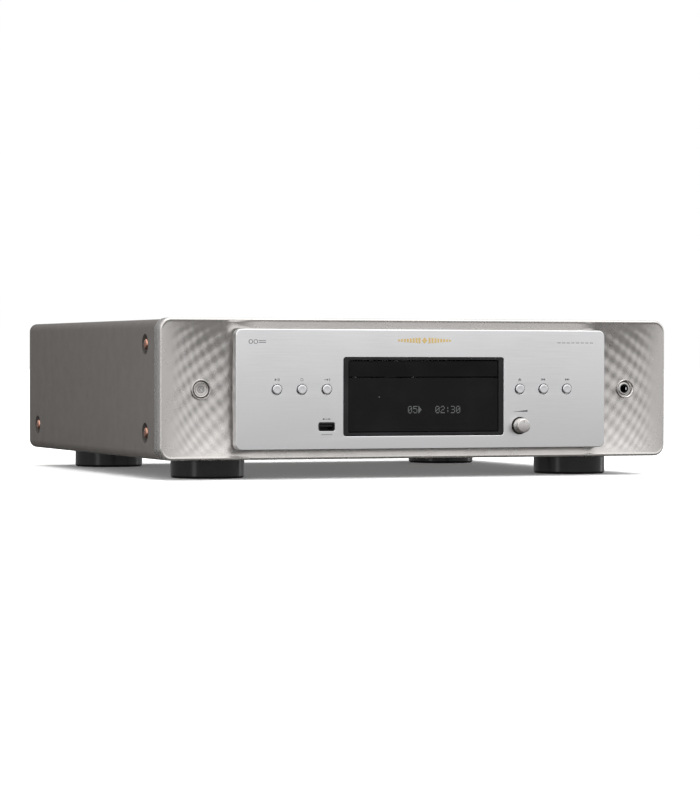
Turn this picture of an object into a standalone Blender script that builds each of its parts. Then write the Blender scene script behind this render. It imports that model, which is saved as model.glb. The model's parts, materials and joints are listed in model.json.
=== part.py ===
"""A full-width compact disc player, as separate solids: housing, front, controls, disc loader, boards and sockets.

Lengths are in millimetres and are turned into metres once, in add_solid(). +Z is up, the front faces -Y, and the
origin is on the table, under the middle of the whole object. Each moving body hangs on an empty that stands on the
axis of its joint.
"""

import math

import bmesh
import bpy
from mathutils import Matrix, Vector

MM = 0.001
GAP = 0.3  # air left between two pieces that touch

# ---- driving dimensions ----
WIDTH = 442.0
HEIGHT = 129.0
FRONT = -196.0  # y of the front frame's rim
BODY_BOTTOM = 16.0
FRAME_DEPTH = 15.7
BODY_DEPTH = 400.7  # from the frame's rim to the cover's rear edge
HALF = WIDTH / 2

# the front frame is a dish: two wings slope back to a flat floor
FRAME_CORNER = 9.5
RIM = 2.6
FLOOR_DEPTH = 8.0
SHELL = 3.0
WING_OUTER = HALF - RIM
WING_INNER = 158.0
WING_POWER = 1.2
PLINTH = (-152.0, 28.3, 152.0, 114.5)
FLOOR_OPENING = (-146.0, 33.8, 146.0, 109.5)

# the aluminium plate that stands in front of the dish
PLATE = (-160.9, 24.0, 160.9, 120.15)
PLATE_CORNER = 5.0
PLATE_FRONT = -8.6
PLATE_BACK = 0.5
PLATE_SKIN = 4.0
WINDOW = (-70.0, 34.5, 70.0, 97.8)

# controls, all on two rows
BUTTON_ROW = 72.1
LOWER_ROW = 42.2
BUTTON_X = (84.3, 105.5, 126.6)
BUTTON_R = 4.2
BUTTON_HOLE_R = 4.55
SIDE_CONTROL_X = 185.9  # the power button and the headphone socket
KNOB_R = 6.0
KNOB_HOLE_R = 7.3
KNOB_PROUD = 9.0

# sheet-metal housing
COVER_HALF = 220.2
COVER_TOP = 127.9
COVER_BOTTOM = 16.1
COVER_CORNER = 7.0
SHEET = 1.5
FLANGE_END = 208.0
CHASSIS_HALF = 215.8
CHASSIS_FLOOR = 18.7
FLOOR_TOP = CHASSIS_FLOOR + SHEET
DIMPLE = 0.8  # how deep the round seats of the cover screws are pressed
SCREW_FRONT = 43.0  # depths of the cover screws behind the frame's rim
SCREW_REAR = 372.7
SCREW_HIGH = 108.1
SCREW_LOW = 37.2

FOOT_R = 30.0
FOOT_X = 161.5
FOOT_DEPTHS = (61.7, 345.7)

# disc loader
SPINDLE = 72.0  # depth of the disc's centre with the tray closed
DISC_R = 60.0
TRAY_HALF = 61.8
TRAY_LIP_HALF = 64.8
TRAY_REAR = 188.0
TRAY_BOTTOM = 86.2
TRAY_TOP = 93.5
DISC_FLOOR = 88.8
SLOT_HALF = 21.0
LOADER_HALF = 80.0
LOADER_FRONT = 18.5
LOADER_REAR = 196.0
LOADER_BOTTOM = 60.0
LOADER_TOP = 94.8
PIVOT_DEPTH = 150.0
PIVOT_Z = 76.5
LOADING_MODULE = 1.25
SLED_MODULE = 1.0
GEAR_LOW, GEAR_HIGH = 82.3, 85.9
RACK_X = -52.0  # pitch line of the tray's rack
LOADING_TEETH = 16
PULLEY_TEETH = 8
SLED_TEETH = 12
GEAR_X = RACK_X - LOADING_MODULE * LOADING_TEETH / 2
GEAR_DEPTH = 31.0
PULLEY_DEPTH = GEAR_DEPTH + LOADING_MODULE * (LOADING_TEETH + PULLEY_TEETH) / 2
PULLEY_R = 10.0
MOTOR_X, MOTOR_DEPTH = -67.0, 84.0
MOTOR_PULLEY_R = 3.0
SLED_RACK_X = 33.0
SLED_GEAR_X = SLED_RACK_X + SLED_MODULE * SLED_TEETH / 2
SLED_GEAR_DEPTH = 112.0
ROD_X, ROD_Z, ROD_R = 26.0, 80.7, 1.3
PICKUP_DEPTH = SPINDLE + 25.0

# rear sockets
PANEL_FRONT = 399.0
PANEL_REAR = 400.5
SOCKET_END = 409.6
INLET_X, INLET_Z = -165.0, 62.0
ANALOG_X, ANALOG_Z = (126.0, 156.0), 62.0
COAX_X, OPTICAL_X, DIGITAL_Z = 74.0, 44.0, 62.0
REMOTE_X, REMOTE_Z = -10.0, 62.0

MATERIALS = {  # colour, roughness, metallic
    "champagne_resin": ((0.60, 0.58, 0.56), 0.38, 0.7),
    "aluminium": ((0.78, 0.78, 0.79), 0.35, 1.0),
    "cover_paint": ((0.27, 0.26, 0.25), 0.5, 0.6),
    "steel": ((0.60, 0.61, 0.62), 0.4, 1.0),
    "copper_steel": ((0.66, 0.36, 0.26), 0.35, 1.0),
    "black_plastic": ((0.02, 0.02, 0.02), 0.45, 0.0),
    "black_gloss": ((0.015, 0.015, 0.017), 0.12, 0.0),
    "smoked_acrylic": ((0.01, 0.01, 0.012), 0.06, 0.0),
    "chrome": ((0.82, 0.82, 0.82), 0.12, 1.0),
    "gold": ((0.83, 0.63, 0.30), 0.25, 1.0),
    "rubber": ((0.03, 0.03, 0.03), 0.8, 0.0),
    "white_plastic": ((0.75, 0.74, 0.70), 0.5, 0.0),
    "circuit_board": ((0.03, 0.16, 0.08), 0.5, 0.0),
    "glass": ((0.05, 0.08, 0.09), 0.08, 0.0),
}


# ---- outlines ----
def rectangle(x0, z0, x1, z1):
    return [(x0, z0), (x1, z0), (x1, z1), (x0, z1)]


def rounded_rectangle(x0, z0, x1, z1, radius, steps=4):
    points = []
    corners = (
        (x1 - radius, z0 + radius, -90),
        (x1 - radius, z1 - radius, 0),
        (x0 + radius, z1 - radius, 90),
        (x0 + radius, z0 + radius, 180),
    )
    for cx, cz, start in corners:
        for i in range(steps + 1):
            angle = math.radians(start + 90 * i / steps)
            points.append((cx + radius * math.cos(angle), cz + radius * math.sin(angle)))
    return points


def circle(cx, cz, radius, segments=24):
    turns = [2 * math.pi * i / segments for i in range(segments)]
    return [(cx + radius * math.cos(t), cz + radius * math.sin(t)) for t in turns]


TOOTH = ((-1.25, 0.9), (-0.1, 0.62), (0.95, 0.28))  # height over the pitch line, half width, in modules


def gear_outline(cx, cy, module, teeth, first_tooth_deg):
    """Teeth are thinned on the pitch line, so that meshed gears keep a running clearance."""
    pitch_r = module * teeth / 2
    points = []
    for tooth in range(teeth):
        centre = math.radians(first_tooth_deg + 360 * tooth / teeth)
        sides = [(h, -w) for h, w in TOOTH] + [(h, w) for h, w in reversed(TOOTH)]
        for height, half_width in sides:
            r = pitch_r + module * height
            half_turn = min(module * abs(half_width) / r, 0.85 * math.pi / teeth)
            turn = centre + math.copysign(half_turn, half_width)
            points.append((cx + r * math.cos(turn), cy + r * math.sin(turn)))
    return points


def rack_outline(module, pitch_x, back_x, y_tooth, y0, y1):
    """A rack along Y with its teeth on the side away from back_x. One tooth is centred on y_tooth."""
    side = 1 if pitch_x > back_x else -1
    pitch = math.pi * module
    first = math.ceil((y0 + 0.5 * pitch - y_tooth) / pitch)
    last = math.floor((y1 - 0.5 * pitch - y_tooth) / pitch)
    (low, low_half), _, (high, high_half) = TOOTH
    root_x, tip_x = pitch_x + side * low * module, pitch_x + side * high * module
    points = [(back_x, y0), (root_x, y0)]
    for k in range(first, last + 1):
        y = y_tooth + k * pitch
        points += [(root_x, y - low_half * module), (tip_x, y - high_half * module)]
        points += [(tip_x, y + high_half * module), (root_x, y + low_half * module)]
    return points + [(root_x, y1), (back_x, y1)]


# ---- solids ----
def material(name):
    found = bpy.data.materials.get(name)
    if found:
        return found
    colour, roughness, metallic = MATERIALS[name]
    made = bpy.data.materials.new(name)
    made.use_nodes = True
    shader = made.node_tree.nodes["Principled BSDF"]
    shader.inputs["Base Color"].default_value = (*colour, 1)
    shader.inputs["Roughness"].default_value = roughness
    shader.inputs["Metallic"].default_value = metallic
    return made


def add_solid(name, mesh, finish, location=(0, 0, 0)):
    """Turns a bmesh in millimetres into an object in metres. Location is in millimetres too."""
    bmesh.ops.recalc_face_normals(mesh, faces=mesh.faces)
    bmesh.ops.scale(mesh, vec=(MM, MM, MM), verts=mesh.verts)
    data = bpy.data.meshes.new(name)
    mesh.to_mesh(data)
    mesh.free()
    data.materials.append(material(finish))
    made = bpy.data.objects.new(name, data)
    made.location = Vector(location) * MM
    bpy.context.scene.collection.objects.link(made)
    return made


PLANES = {  # how an outline's two coordinates and the extrusion's length become x, y, z
    "x": lambda a, b, along: (along, a, b),
    "y": lambda a, b, along: (a, along, b),
    "z": lambda a, b, along: (a, b, along),
}


def prism(name, outline, axis, low, high, finish="steel"):
    """An outline extruded along an axis. It lies in (y, z) for axis x, (x, z) for y and (x, y) for z."""
    place = PLANES[axis]
    mesh = bmesh.new()
    face = mesh.faces.new([mesh.verts.new(place(a, b, low)) for a, b in outline])
    made = bmesh.ops.extrude_face_region(mesh, geom=[face])
    moved = [v for v in made["geom"] if isinstance(v, bmesh.types.BMVert)]
    bmesh.ops.translate(mesh, vec=Vector(place(0, 0, high - low)), verts=moved)
    return add_solid(name, mesh, finish)


def box(name, x0, x1, depth0, depth1, z0, z1, finish="steel"):
    """A block. Its depths count from the front frame's rim."""
    return prism(name, rectangle(x0, z0, x1, z1), "y", FRONT + depth0, FRONT + depth1, finish)


def turned(name, profile, axis, centre, finish="steel", segments=24):
    """A profile of (radius, height) points spun about an axis through centre. It closes on the axis at both ends,
    or, where no radius is 0, into a ring."""
    mesh = bmesh.new()
    rings = []
    for radius, height in profile:
        if radius == 0:
            rings.append([mesh.verts.new((0, 0, height))])
        else:
            rings.append([mesh.verts.new((x, y, height)) for x, y in circle(0, 0, radius, segments)])
    pairs = list(zip(rings, rings[1:]))
    if profile[0][0] > 0:
        pairs.append((rings[-1], rings[0]))
    for lower, upper in pairs:
        for i in range(segments):
            j = (i + 1) % segments
            corners = [lower[i % len(lower)], lower[j % len(lower)], upper[j % len(upper)], upper[i % len(upper)]]
            unique = list(dict.fromkeys(corners))
            if len(unique) > 2:
                mesh.faces.new(unique)
    turn = {"x": Matrix.Rotation(math.pi / 2, 3, "Y"), "y": Matrix.Rotation(-math.pi / 2, 3, "X")}.get(axis)
    if turn:
        bmesh.ops.rotate(mesh, matrix=turn, verts=mesh.verts)
    made = add_solid(name, mesh, finish, centre)
    made.data.shade_smooth()
    made.data.set_sharp_from_angle(angle=math.radians(40))
    return made


def combine(target, operation, tools):
    """A Boolean applied at once, so that the tool objects can go."""
    for tool in tools:
        modifier = target.modifiers.new(operation, "BOOLEAN")
        modifier.operation = operation
        modifier.solver = "EXACT"
        modifier.object = tool
        bpy.context.view_layer.update()
        graph = bpy.context.evaluated_depsgraph_get()
        result = bpy.data.meshes.new_from_object(target.evaluated_get(graph))
        target.modifiers.clear()
        target.data = result
        bpy.data.objects.remove(tool)
    return target


def cut(target, *tools):
    return combine(target, "DIFFERENCE", tools)


def join(target, *tools):
    return combine(target, "UNION", tools)


def hole(axis, a, b, radius, low, high, segments=24):
    """A round cutter. a and b are the outline plane's two coordinates."""
    return prism("cutter", circle(a, b, radius, segments), axis, low, high)


def hole_y(x, z, radius, depth0, depth1, segments=20):
    return hole("y", x, z, radius, FRONT + depth0, FRONT + depth1, segments)


# ---- housing ----
def wing_depth(x):
    """How far the dish lies behind the rim at this x."""
    share = (WING_OUTER - abs(x)) / (WING_OUTER - WING_INNER)
    return FLOOR_DEPTH * min(1.0, max(0.0, share)) ** WING_POWER


def dish_cutter(offset, outer, end_depth):
    """The space between the dish's surface, moved back by offset, and the plane at end_depth, inside a border."""
    steps = 6
    span = WING_OUTER - WING_INNER
    left = [-WING_OUTER + span * i / steps for i in range(steps + 1)]
    surface = [(x, FRONT + wing_depth(x) + offset) for x in left + [-x for x in reversed(left)]]
    end = FRONT + end_depth
    side = HALF + 5
    outline = [(-side, end), (-side, surface[0][1])] + surface + [(side, surface[-1][1]), (side, end)]
    made = prism("cutter", outline, "z", BODY_BOTTOM - 5, HEIGHT + 5)
    border = HALF - outer
    inner = (-outer, BODY_BOTTOM + border, outer, HEIGHT - border)
    limit = prism("limit", rounded_rectangle(*inner, FRAME_CORNER - border), "y", FRONT - 9, FRONT + 25)
    return combine(made, "INTERSECT", [limit])


def front_frame():
    """The moulded dish with its two wings, and the plinth that carries the plate."""
    outline = rounded_rectangle(-HALF, BODY_BOTTOM, HALF, HEIGHT, FRAME_CORNER)
    frame = prism("front_frame", outline, "y", FRONT, FRONT + FRAME_DEPTH, "champagne_resin")
    cut(frame, dish_cutter(0, WING_OUTER, -2))
    cut(frame, dish_cutter(SHELL, HALF - SHELL, FRAME_DEPTH + 2))
    join(frame, prism("plinth", rectangle(*PLINTH), "y", FRONT - 4.3, FRONT + FLOOR_DEPTH + 1))
    opening = prism("opening", rectangle(*FLOOR_OPENING), "y", FRONT - 10, FRONT + 20)
    holes = [hole_y(side * SIDE_CONTROL_X, BUTTON_ROW, 8.4, -5, 14, 20) for side in (-1, 1)]
    return cut(frame, opening, *holes)


def front_plate():
    """The aluminium plate, hollow behind, with its window and control holes."""
    x0, z0, x1, z1 = PLATE
    outline = rounded_rectangle(x0, z0, x1, z1, PLATE_CORNER)
    plate = prism("front_plate", outline, "y", FRONT + PLATE_FRONT, FRONT + PLATE_BACK, "aluminium")
    pocket = rounded_rectangle(x0 + 3, z0 + 3, x1 - 3, z1 - 3, 3, 2)
    back = FRONT + PLATE_FRONT + PLATE_SKIN
    cut(plate, prism("pocket", pocket, "y", back, FRONT + 3))
    cut(plate, prism("window", rounded_rectangle(*WINDOW, 2.5, 3), "y", FRONT - 12, FRONT))
    for x in BUTTON_X:
        for side in (-1, 1):
            cut(plate, hole_y(side * x, BUTTON_ROW, BUTTON_HOLE_R, -12, 0, 14))
    cut(plate, hole_y(BUTTON_X[0], LOWER_ROW, KNOB_HOLE_R, -12, 0))
    usb = rounded_rectangle(-BUTTON_X[0] - 7.2, LOWER_ROW - 3.6, -BUTTON_X[0] + 7.2, LOWER_ROW + 3.6, 0.8, 2)
    return cut(plate, prism("usb", usb, "y", FRONT - 12, FRONT))


def window_parts():
    """The black surround of the window, its smoked pane and the display behind."""
    x0, z0, x1, z1 = WINDOW
    gap = 0.4
    outline = rounded_rectangle(x0 + gap, z0 + gap, x1 - gap, z1 - gap, 2.1, 3)
    bezel = prism("window_bezel", outline, "y", FRONT - 8.0, FRONT + 6, "black_plastic")
    cut(bezel, box("front_opening", -65.5, 65.5, -10, -4, 37.5, 95.7))
    cut(bezel, box("tray_opening", -65.5, 65.5, -5, 10, 81.4, 95.7))
    cut(bezel, box("display_opening", -62, 62, -5, 10, 40, 79))
    box("display_window", -65.2, 65.2, -7.4, -4.3, 37.8, 81.1, "smoked_acrylic")
    display = box("display_module", -60, 60, 4, 5.6, 41, 78, "glass")
    join(display, box("glass", -48, 48, -3.6, 4.5, 46, 72))


def top_cover():
    """Folded sheet: top, two sides and two narrow flanges underneath. It slides off to the rear."""
    outer = rounded_rectangle(-COVER_HALF, COVER_BOTTOM, COVER_HALF, COVER_TOP, COVER_CORNER)
    inner = rounded_rectangle(
        -COVER_HALF + SHEET, COVER_BOTTOM + SHEET, COVER_HALF - SHEET, COVER_TOP - SHEET, COVER_CORNER - SHEET
    )
    front, rear = FRONT + FRAME_DEPTH + GAP, FRONT + BODY_DEPTH
    cover = prism("top_cover", outer, "y", front, rear, "cover_paint")
    cut(cover, prism("inside", inner, "y", front - 5, rear + 5))
    cut(cover, box("underside", -FLANGE_END, FLANGE_END, 0, BODY_DEPTH + 5, 10, 25))
    for side in (-1, 1):
        for depth, z in screw_places():
            y = FRONT + depth
            ends = sorted((side * (COVER_HALF - DIMPLE), side * (COVER_HALF + 5)))
            cut(cover, hole("x", y, z, 8.3, *ends, segments=12))
            ends = sorted((side * (COVER_HALF - 6), side * (COVER_HALF + 5)))
            cut(cover, hole("x", y, z, 2.3, *ends, segments=8))
    return cover


def screw_places():
    return ((SCREW_FRONT, SCREW_HIGH), (SCREW_FRONT, SCREW_LOW), (SCREW_REAR, SCREW_LOW))


def cover_screws():
    """Pan-head screws in round seats, three on each side. Each passes through its hole in the chassis wall."""
    names = ("upper_front", "lower_front", "lower_rear")
    for side, word in ((-1, "left"), (1, "right")):
        for (depth, z), place in zip(screw_places(), names):
            profile = [(0, -7), (1.6, -7), (1.6, 0), (4.0, 0), (4.0, 0.6), (3.2, 1.1), (0, 1.1)]
            x = side * (COVER_HALF - DIMPLE + GAP)
            screw = turned(f"cover_screw_{place}_{word}", profile, "x", (x, FRONT + depth, z), "copper_steel", 10)
            screw.rotation_euler = (0, 0, 0 if side > 0 else math.pi)
            bpy.context.view_layer.update()
            slot_x = sorted((x + side * 0.5, x + side * 4))
            y, long, short = FRONT + depth, 2.3, 0.45
            cross = [(long, -short), (long, short), (short, short), (short, long), (-short, long), (-short, short)]
            cross += [(-a, -b) for a, b in cross]
            cut(screw, prism("cross", [(y + a, z + b) for a, b in cross], "x", *slot_x))


def bottom_chassis():
    """Floor, side walls that are high only at the front, and the front upstand with its openings."""
    front, rear = FRAME_DEPTH + 0.6, PANEL_FRONT - GAP
    chassis = box("bottom_chassis", -CHASSIS_HALF, CHASSIS_HALF, front, rear, CHASSIS_FLOOR, FLOOR_TOP)
    wall = [
        (FRONT + front, CHASSIS_FLOOR),
        (FRONT + rear, CHASSIS_FLOOR),
        (FRONT + rear, 46),
        (FRONT + 66, 46),
        (FRONT + 56, 56),
        (FRONT + 56, 119),
        (FRONT + front, 119),
    ]
    for side in (-1, 1):
        ends = sorted((side * CHASSIS_HALF, side * (CHASSIS_HALF - SHEET)))
        join(chassis, prism("wall", wall, "x", *ends))
    join(chassis, box("upstand", -CHASSIS_HALF, CHASSIS_HALF, front, front + SHEET, CHASSIS_FLOOR, 119))
    cut(chassis, box("tray_way", -84, 84, 10, 30, 33, 99))
    for side in (-1, 1):
        cut(chassis, hole_y(side * SIDE_CONTROL_X, BUTTON_ROW, 11, 10, 25, 16))
        for depth, z in screw_places():
            ends = sorted((side * (CHASSIS_HALF - 6), side * (CHASSIS_HALF + 5)))
            cut(chassis, hole("x", FRONT + depth, z, 2.2, *ends, segments=8))
    return chassis


def rear_panel():
    panel = prism(
        "rear_panel",
        rounded_rectangle(-218.3, 18.0, 218.3, 126.0, 5.0),
        "y",
        FRONT + PANEL_FRONT,
        FRONT + PANEL_REAR,
        "cover_paint",
    )
    inlet = rectangle(INLET_X - 13.8, INLET_Z - 10.3, INLET_X + 13.8, INLET_Z + 10.3)
    optical = rectangle(OPTICAL_X - 6.4, DIGITAL_Z - 6.4, OPTICAL_X + 6.4, DIGITAL_Z + 6.4)
    for outline in (inlet, optical):
        cut(panel, prism("cutout", outline, "y", FRONT + 390, FRONT + 410))
    round_holes = [(x, ANALOG_Z) for x in ANALOG_X] + [(COAX_X, DIGITAL_Z)]
    round_holes += [(REMOTE_X - 9, REMOTE_Z), (REMOTE_X + 9, REMOTE_Z)]
    for x, z in round_holes:
        cut(panel, hole_y(x, z, 5.5, 390, 410, 12))
    return panel


def feet():
    top = CHASSIS_FLOOR - GAP
    profile = [(0, 0), (28.6, 0), (FOOT_R, 1.4), (FOOT_R, top - 1.2), (29.2, top), (0, top)]
    for x, word in ((-FOOT_X, "left"), (FOOT_X, "right")):
        for depth, place in zip(FOOT_DEPTHS, ("front", "rear")):
            turned(f"foot_{place}_{word}", profile, "z", (x, FRONT + depth, 0), "black_gloss", 28)


# ---- controls ----
def push_button(name, x):
    """A round cap, its retaining collar behind the plate and the stem that works the switch."""
    profile = [(0, -9.8), (3.8, -9.8), (BUTTON_R, -9.4), (BUTTON_R, -4.2), (5.5, -4.2), (5.5, -3.2), (1.6, 1.0), (0, 1.0)]
    return turned(name, profile, "y", (x, FRONT, BUTTON_ROW), "aluminium", 14)


def side_controls():
    """The power button in its ring on the left wing, and the headphone socket on the right wing."""
    ring = [(7.0, 4.4), (8.1, 3.0), (8.1, 9.0), (9.6, 9.0), (9.6, 11.0), (7.0, 11.0)]
    turned("power_bezel", ring, "y", (-SIDE_CONTROL_X, FRONT, BUTTON_ROW), "champagne_resin", 20)
    cap = [(0, 3.8), (6.0, 3.8), (6.6, 4.3), (6.6, 11.6), (8.4, 11.6), (8.4, 12.6), (2.0, 12.6), (2.0, 15.0), (0, 15.0)]
    turned("power_button", cap, "y", (-SIDE_CONTROL_X, FRONT, BUTTON_ROW), "aluminium", 20)
    x, z = -SIDE_CONTROL_X, BUTTON_ROW
    switch = box("power_switch", x - 7, x + 7, 16.2, 32.0, z - 7, z + 7, "black_plastic")
    join(switch, box("ears", x - 13, x + 13, 18.1, 19.6, z - 8, z + 8))
    nut = [(0, 34.0), (3.3, 34.0), (3.3, 5.0), (5.4, 3.4), (8.1, 3.4), (8.1, 9.0), (9.6, 9.0)]
    nut += [(9.6, 11.0), (6.0, 11.0), (6.0, 36.0), (0, 36.0)]
    jack = turned("headphone_jack", nut, "y", (SIDE_CONTROL_X, FRONT, BUTTON_ROW), "chrome", 16)
    x = SIDE_CONTROL_X
    housing = box("housing", x - 7, x + 7, 12.0, 37.0, z - 7, z + 7, "chrome")
    cut(housing, hole_y(x, z, 3.4, 5, 34.0, 16))
    join(jack, housing)


def level_knob():
    tip, base = PLATE_FRONT - KNOB_PROUD, -5.4
    profile = [(0, tip), (5.5, tip), (KNOB_R, tip + 0.5), (KNOB_R, tip + 2.1), (5.7, tip + 2.4), (KNOB_R, tip + 2.7)]
    profile += [(KNOB_R, base), (2.9, base), (2.9, 3.0), (0, 3.0)]
    turned("level_knob", profile, "y", (BUTTON_X[0], FRONT, LOWER_ROW), "aluminium", 24)


def control_boards():
    """Two boards behind the plate. Their switches, and the right one's potentiometer, are soldered to them."""
    for side, word in ((-1, "left"), (1, "right")):
        x0, x1 = sorted((side * 74, side * 142))
        board = box(f"control_board_{word}", x0, x1, 5, 6.6, 35, 82, "circuit_board")
        for x in BUTTON_X:
            join(board, box("switch", side * x - 3, side * x + 3, 2.1, 5.4, BUTTON_ROW - 3, BUTTON_ROW + 3))
        if side > 0:
            x, z = BUTTON_X[0], LOWER_ROW
            pot = box("pot", x - 6.5, x + 6.5, -3.4, 5.4, z - 6.5, z + 6.5)
            cut(pot, hole_y(x, z, 3.2, -5, 4.0, 16))
            join(board, pot)


def usb_socket():
    """A steel shell with its contact tongue."""
    x, z = -BUTTON_X[0], LOWER_ROW
    shell = box("usb_socket", x - 6.9, x + 6.9, -8.3, 4.7, z - 3.3, z + 3.3, "steel")
    cut(shell, box("mouth", x - 6.25, x + 6.25, -10, 3.0, z - 2.6, z + 2.6))
    return join(shell, box("tongue", x - 5.6, x + 5.6, -7.2, 3.5, z + 0.1, z + 1.9))


# ---- disc loader ----
def loader_frame():
    """Floor ring, side walls with the tray's ledges, pivot bosses and the gear posts."""
    f, r, lo = LOADER_FRONT, LOADER_REAR, LOADER_BOTTOM
    frame = box("loader_frame", -LOADER_HALF, LOADER_HALF, f, r, lo, lo + 2.5, "black_plastic")
    cut(frame, box("well", -44, 54, 40, 168, lo - 5, lo + 8))
    for side in (-1, 1):
        ends = sorted((side * LOADER_HALF, side * (LOADER_HALF - 2.5)))
        join(frame, box("wall", *ends, f, r, lo, LOADER_TOP))
        ends = sorted((side * (LOADER_HALF - 1), side * (TRAY_HALF + 0.5)))
        join(frame, box("ledge", *ends, f, r, 88.2, TRAY_TOP - 2 - GAP))
    join(frame, box("rear_wall", -LOADER_HALF, LOADER_HALF, r - 2.5, r, lo, 82))
    for x0, x1 in ((-50.5, -44.5), (54.5, 60.5)):
        boss = box("boss", x0, x1, PIVOT_DEPTH - 5, PIVOT_DEPTH + 5, lo + 1, 81)
        cut(boss, hole("x", FRONT + PIVOT_DEPTH, PIVOT_Z, 2.3, x0 - 2, x1 + 2, 16))
        join(frame, boss)
    for depth in (GEAR_DEPTH, PULLEY_DEPTH):
        join(frame, prism("post", circle(GEAR_X, FRONT + depth, 1.5, 10), "z", lo + 1, GEAR_HIGH))
    return frame


def loader_bracket():
    """A folded hat section that carries the loader over the chassis floor."""
    low, high = FLOOR_TOP + GAP, LOADER_BOTTOM - GAP
    half, foot, sheet = LOADER_HALF, 92, SHEET
    outline = [
        (-foot, low),
        (-half + sheet, low),
        (-half + sheet, high - sheet),
        (half - sheet, high - sheet),
        (half - sheet, low),
        (foot, low),
        (foot, low + sheet),
        (half, low + sheet),
        (half, high),
        (-half, high),
        (-half, low + sheet),
        (-foot, low + sheet),
    ]
    bracket = prism("loader_bracket", outline, "y", FRONT + 45, FRONT + 175)
    return cut(bracket, box("well", -46, 56, 50, 164, 50, 65))


def disc_tray():
    """The tray with its disc recesses, the pickup slot that is open to the rear, two side lips and the rack."""
    tray = box("disc_tray", -TRAY_HALF, TRAY_HALF, -3, TRAY_REAR, TRAY_BOTTOM, TRAY_TOP, "black_plastic")
    join(tray, box("lips", -TRAY_LIP_HALF, TRAY_LIP_HALF, 12, TRAY_REAR, TRAY_TOP - 2, TRAY_TOP))
    y = FRONT + SPINDLE
    cut(tray, hole("z", 0, y, DISC_R + 0.5, DISC_FLOOR, 100, 48))
    cut(tray, hole("z", 0, y, 40.6, DISC_FLOOR - 0.9, 100, 36))
    cut(tray, hole("z", 0, y, SLOT_HALF, 80, 100, 24))
    cut(tray, box("slot", -SLOT_HALF, SLOT_HALF, SPINDLE, TRAY_REAR + 5, 80, 100))
    cut(tray, box("rear_gap", -42, 42, SPINDLE + DISC_R + 6, TRAY_REAR + 5, 80, 100))
    y0, y1 = FRONT + GEAR_DEPTH - 7, FRONT + GEAR_DEPTH + 148
    rack = rack_outline(LOADING_MODULE, RACK_X, RACK_X + 4.5, FRONT + GEAR_DEPTH, y0, y1)
    return join(tray, prism("rack", rack, "z", GEAR_LOW, 87.0))


def clamp():
    """The bridge over the tray and the magnetic puck that hangs in it and turns with the disc."""
    bridge = box("clamp_bridge", -LOADER_HALF, LOADER_HALF, SPINDLE - 22, SPINDLE + 22, LOADER_TOP + 0.4, LOADER_TOP + 1.9)
    cut(bridge, hole("z", 0, FRONT + SPINDLE, 14.5, 90, 100, 24))
    profile = [(0, 93.6), (8.0, 93.6), (8.0, 91.8), (13.0, 91.8), (13.0, 97.2), (17.0, 97.2), (17.0, 99.0), (0, 99.0)]
    turned("clamper", profile, "z", (0, FRONT + SPINDLE, 0), "white_plastic", 24)


def traverse():
    """The pivoting plate that carries the spindle motor, the guide rods, the pickup and its drive."""
    y = FRONT + SPINDLE
    plate = box("traverse_plate", -36, 46, 50, 160, 75, 78, "steel")
    cut(plate, hole("z", 0, y, 12.4, 70, 85, 20))
    cut(plate, box("pickup_way", -20, 20, 80, 147, 70, 85))
    cut(plate, hole("z", SLED_GEAR_X, FRONT + SLED_GEAR_DEPTH, 1.6, 70, 85, 12))
    for x in (-ROD_X, ROD_X):
        for depth in (81, 155):
            post = box("post", x - 3.2, x + 3.2, depth - 2, depth + 2, 77, 83.1)
            join(plate, cut(post, hole_y(x, ROD_Z, 1.6, depth - 5, depth + 5, 12)))
    for x0, x1 in ((-49.5, -35), (45, 59.5)):
        join(plate, prism("pin", circle(FRONT + PIVOT_DEPTH, PIVOT_Z, 1.5, 12), "x", x0, x1))
    for x, word in ((-ROD_X, "left"), (ROD_X, "right")):
        rod = circle(x, ROD_Z, ROD_R, 12)
        prism(f"guide_rod_{word}", rod, "y", FRONT + 80, FRONT + 156, "chrome")
    motor = [(0, 66.0), (12.0, 66.0), (12.0, 72.4), (15.0, 72.4), (15.0, 74.7), (12.0, 74.7), (12.0, 83.8)]
    motor += [(1.5, 83.8), (1.5, 68.0), (0, 68.0)]
    turned("spindle_motor", motor, "z", (0, y, 0), "steel", 20)
    table = [(0, 69.0), (1.2, 69.0), (1.2, 84.3), (15.0, 84.3), (15.0, 90.0), (7.3, 90.0), (5.4, 92.3), (0, 92.3)]
    turned("turntable", table, "z", (0, y, 0), "black_plastic", 24)


def pickup_drive():
    """The laser pickup on its rods, the rack on its side, and the motor and pinion that move it."""
    d = PICKUP_DEPTH
    pickup = box("optical_pickup", -17, 17, d - 9, d + 13, 74, 86.6, "black_plastic")
    for x0, x1, rod_x in ((-29.8, -16, -ROD_X), (16, 31.2, ROD_X)):
        arm = box("arm", x0, x1, d - 8, d + 10, 78.3, 83.1)
        join(pickup, cut(arm, hole_y(rod_x, ROD_Z, 1.6, d - 20, d + 20, 12)))
    join(pickup, prism("lens", circle(0, FRONT + d, 3.4, 16), "z", 86, 88.0))
    y_tooth = FRONT + SLED_GEAR_DEPTH
    rack = rack_outline(SLED_MODULE, SLED_RACK_X, SLED_RACK_X - 3, y_tooth, y_tooth - 37, y_tooth + 4)
    join(pickup, prism("rack", rack, "z", 78.6, 82.2))
    x, y = SLED_GEAR_X, FRONT + SLED_GEAR_DEPTH
    teeth = gear_outline(x, y, SLED_MODULE, SLED_TEETH, 180 / SLED_TEETH)
    gear = prism("sled_gear", teeth, "z", 78.6, 82.2, "white_plastic")
    join(gear, prism("shaft", circle(x, y, 1.2, 12), "z", 68, 80))
    motor = [(0, 60.0), (8.0, 60.0), (8.0, 74.6), (1.5, 74.6), (1.5, 67.0), (0, 67.0)]
    turned("sled_motor", motor, "z", (x, y, 0), "steel", 20)


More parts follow.
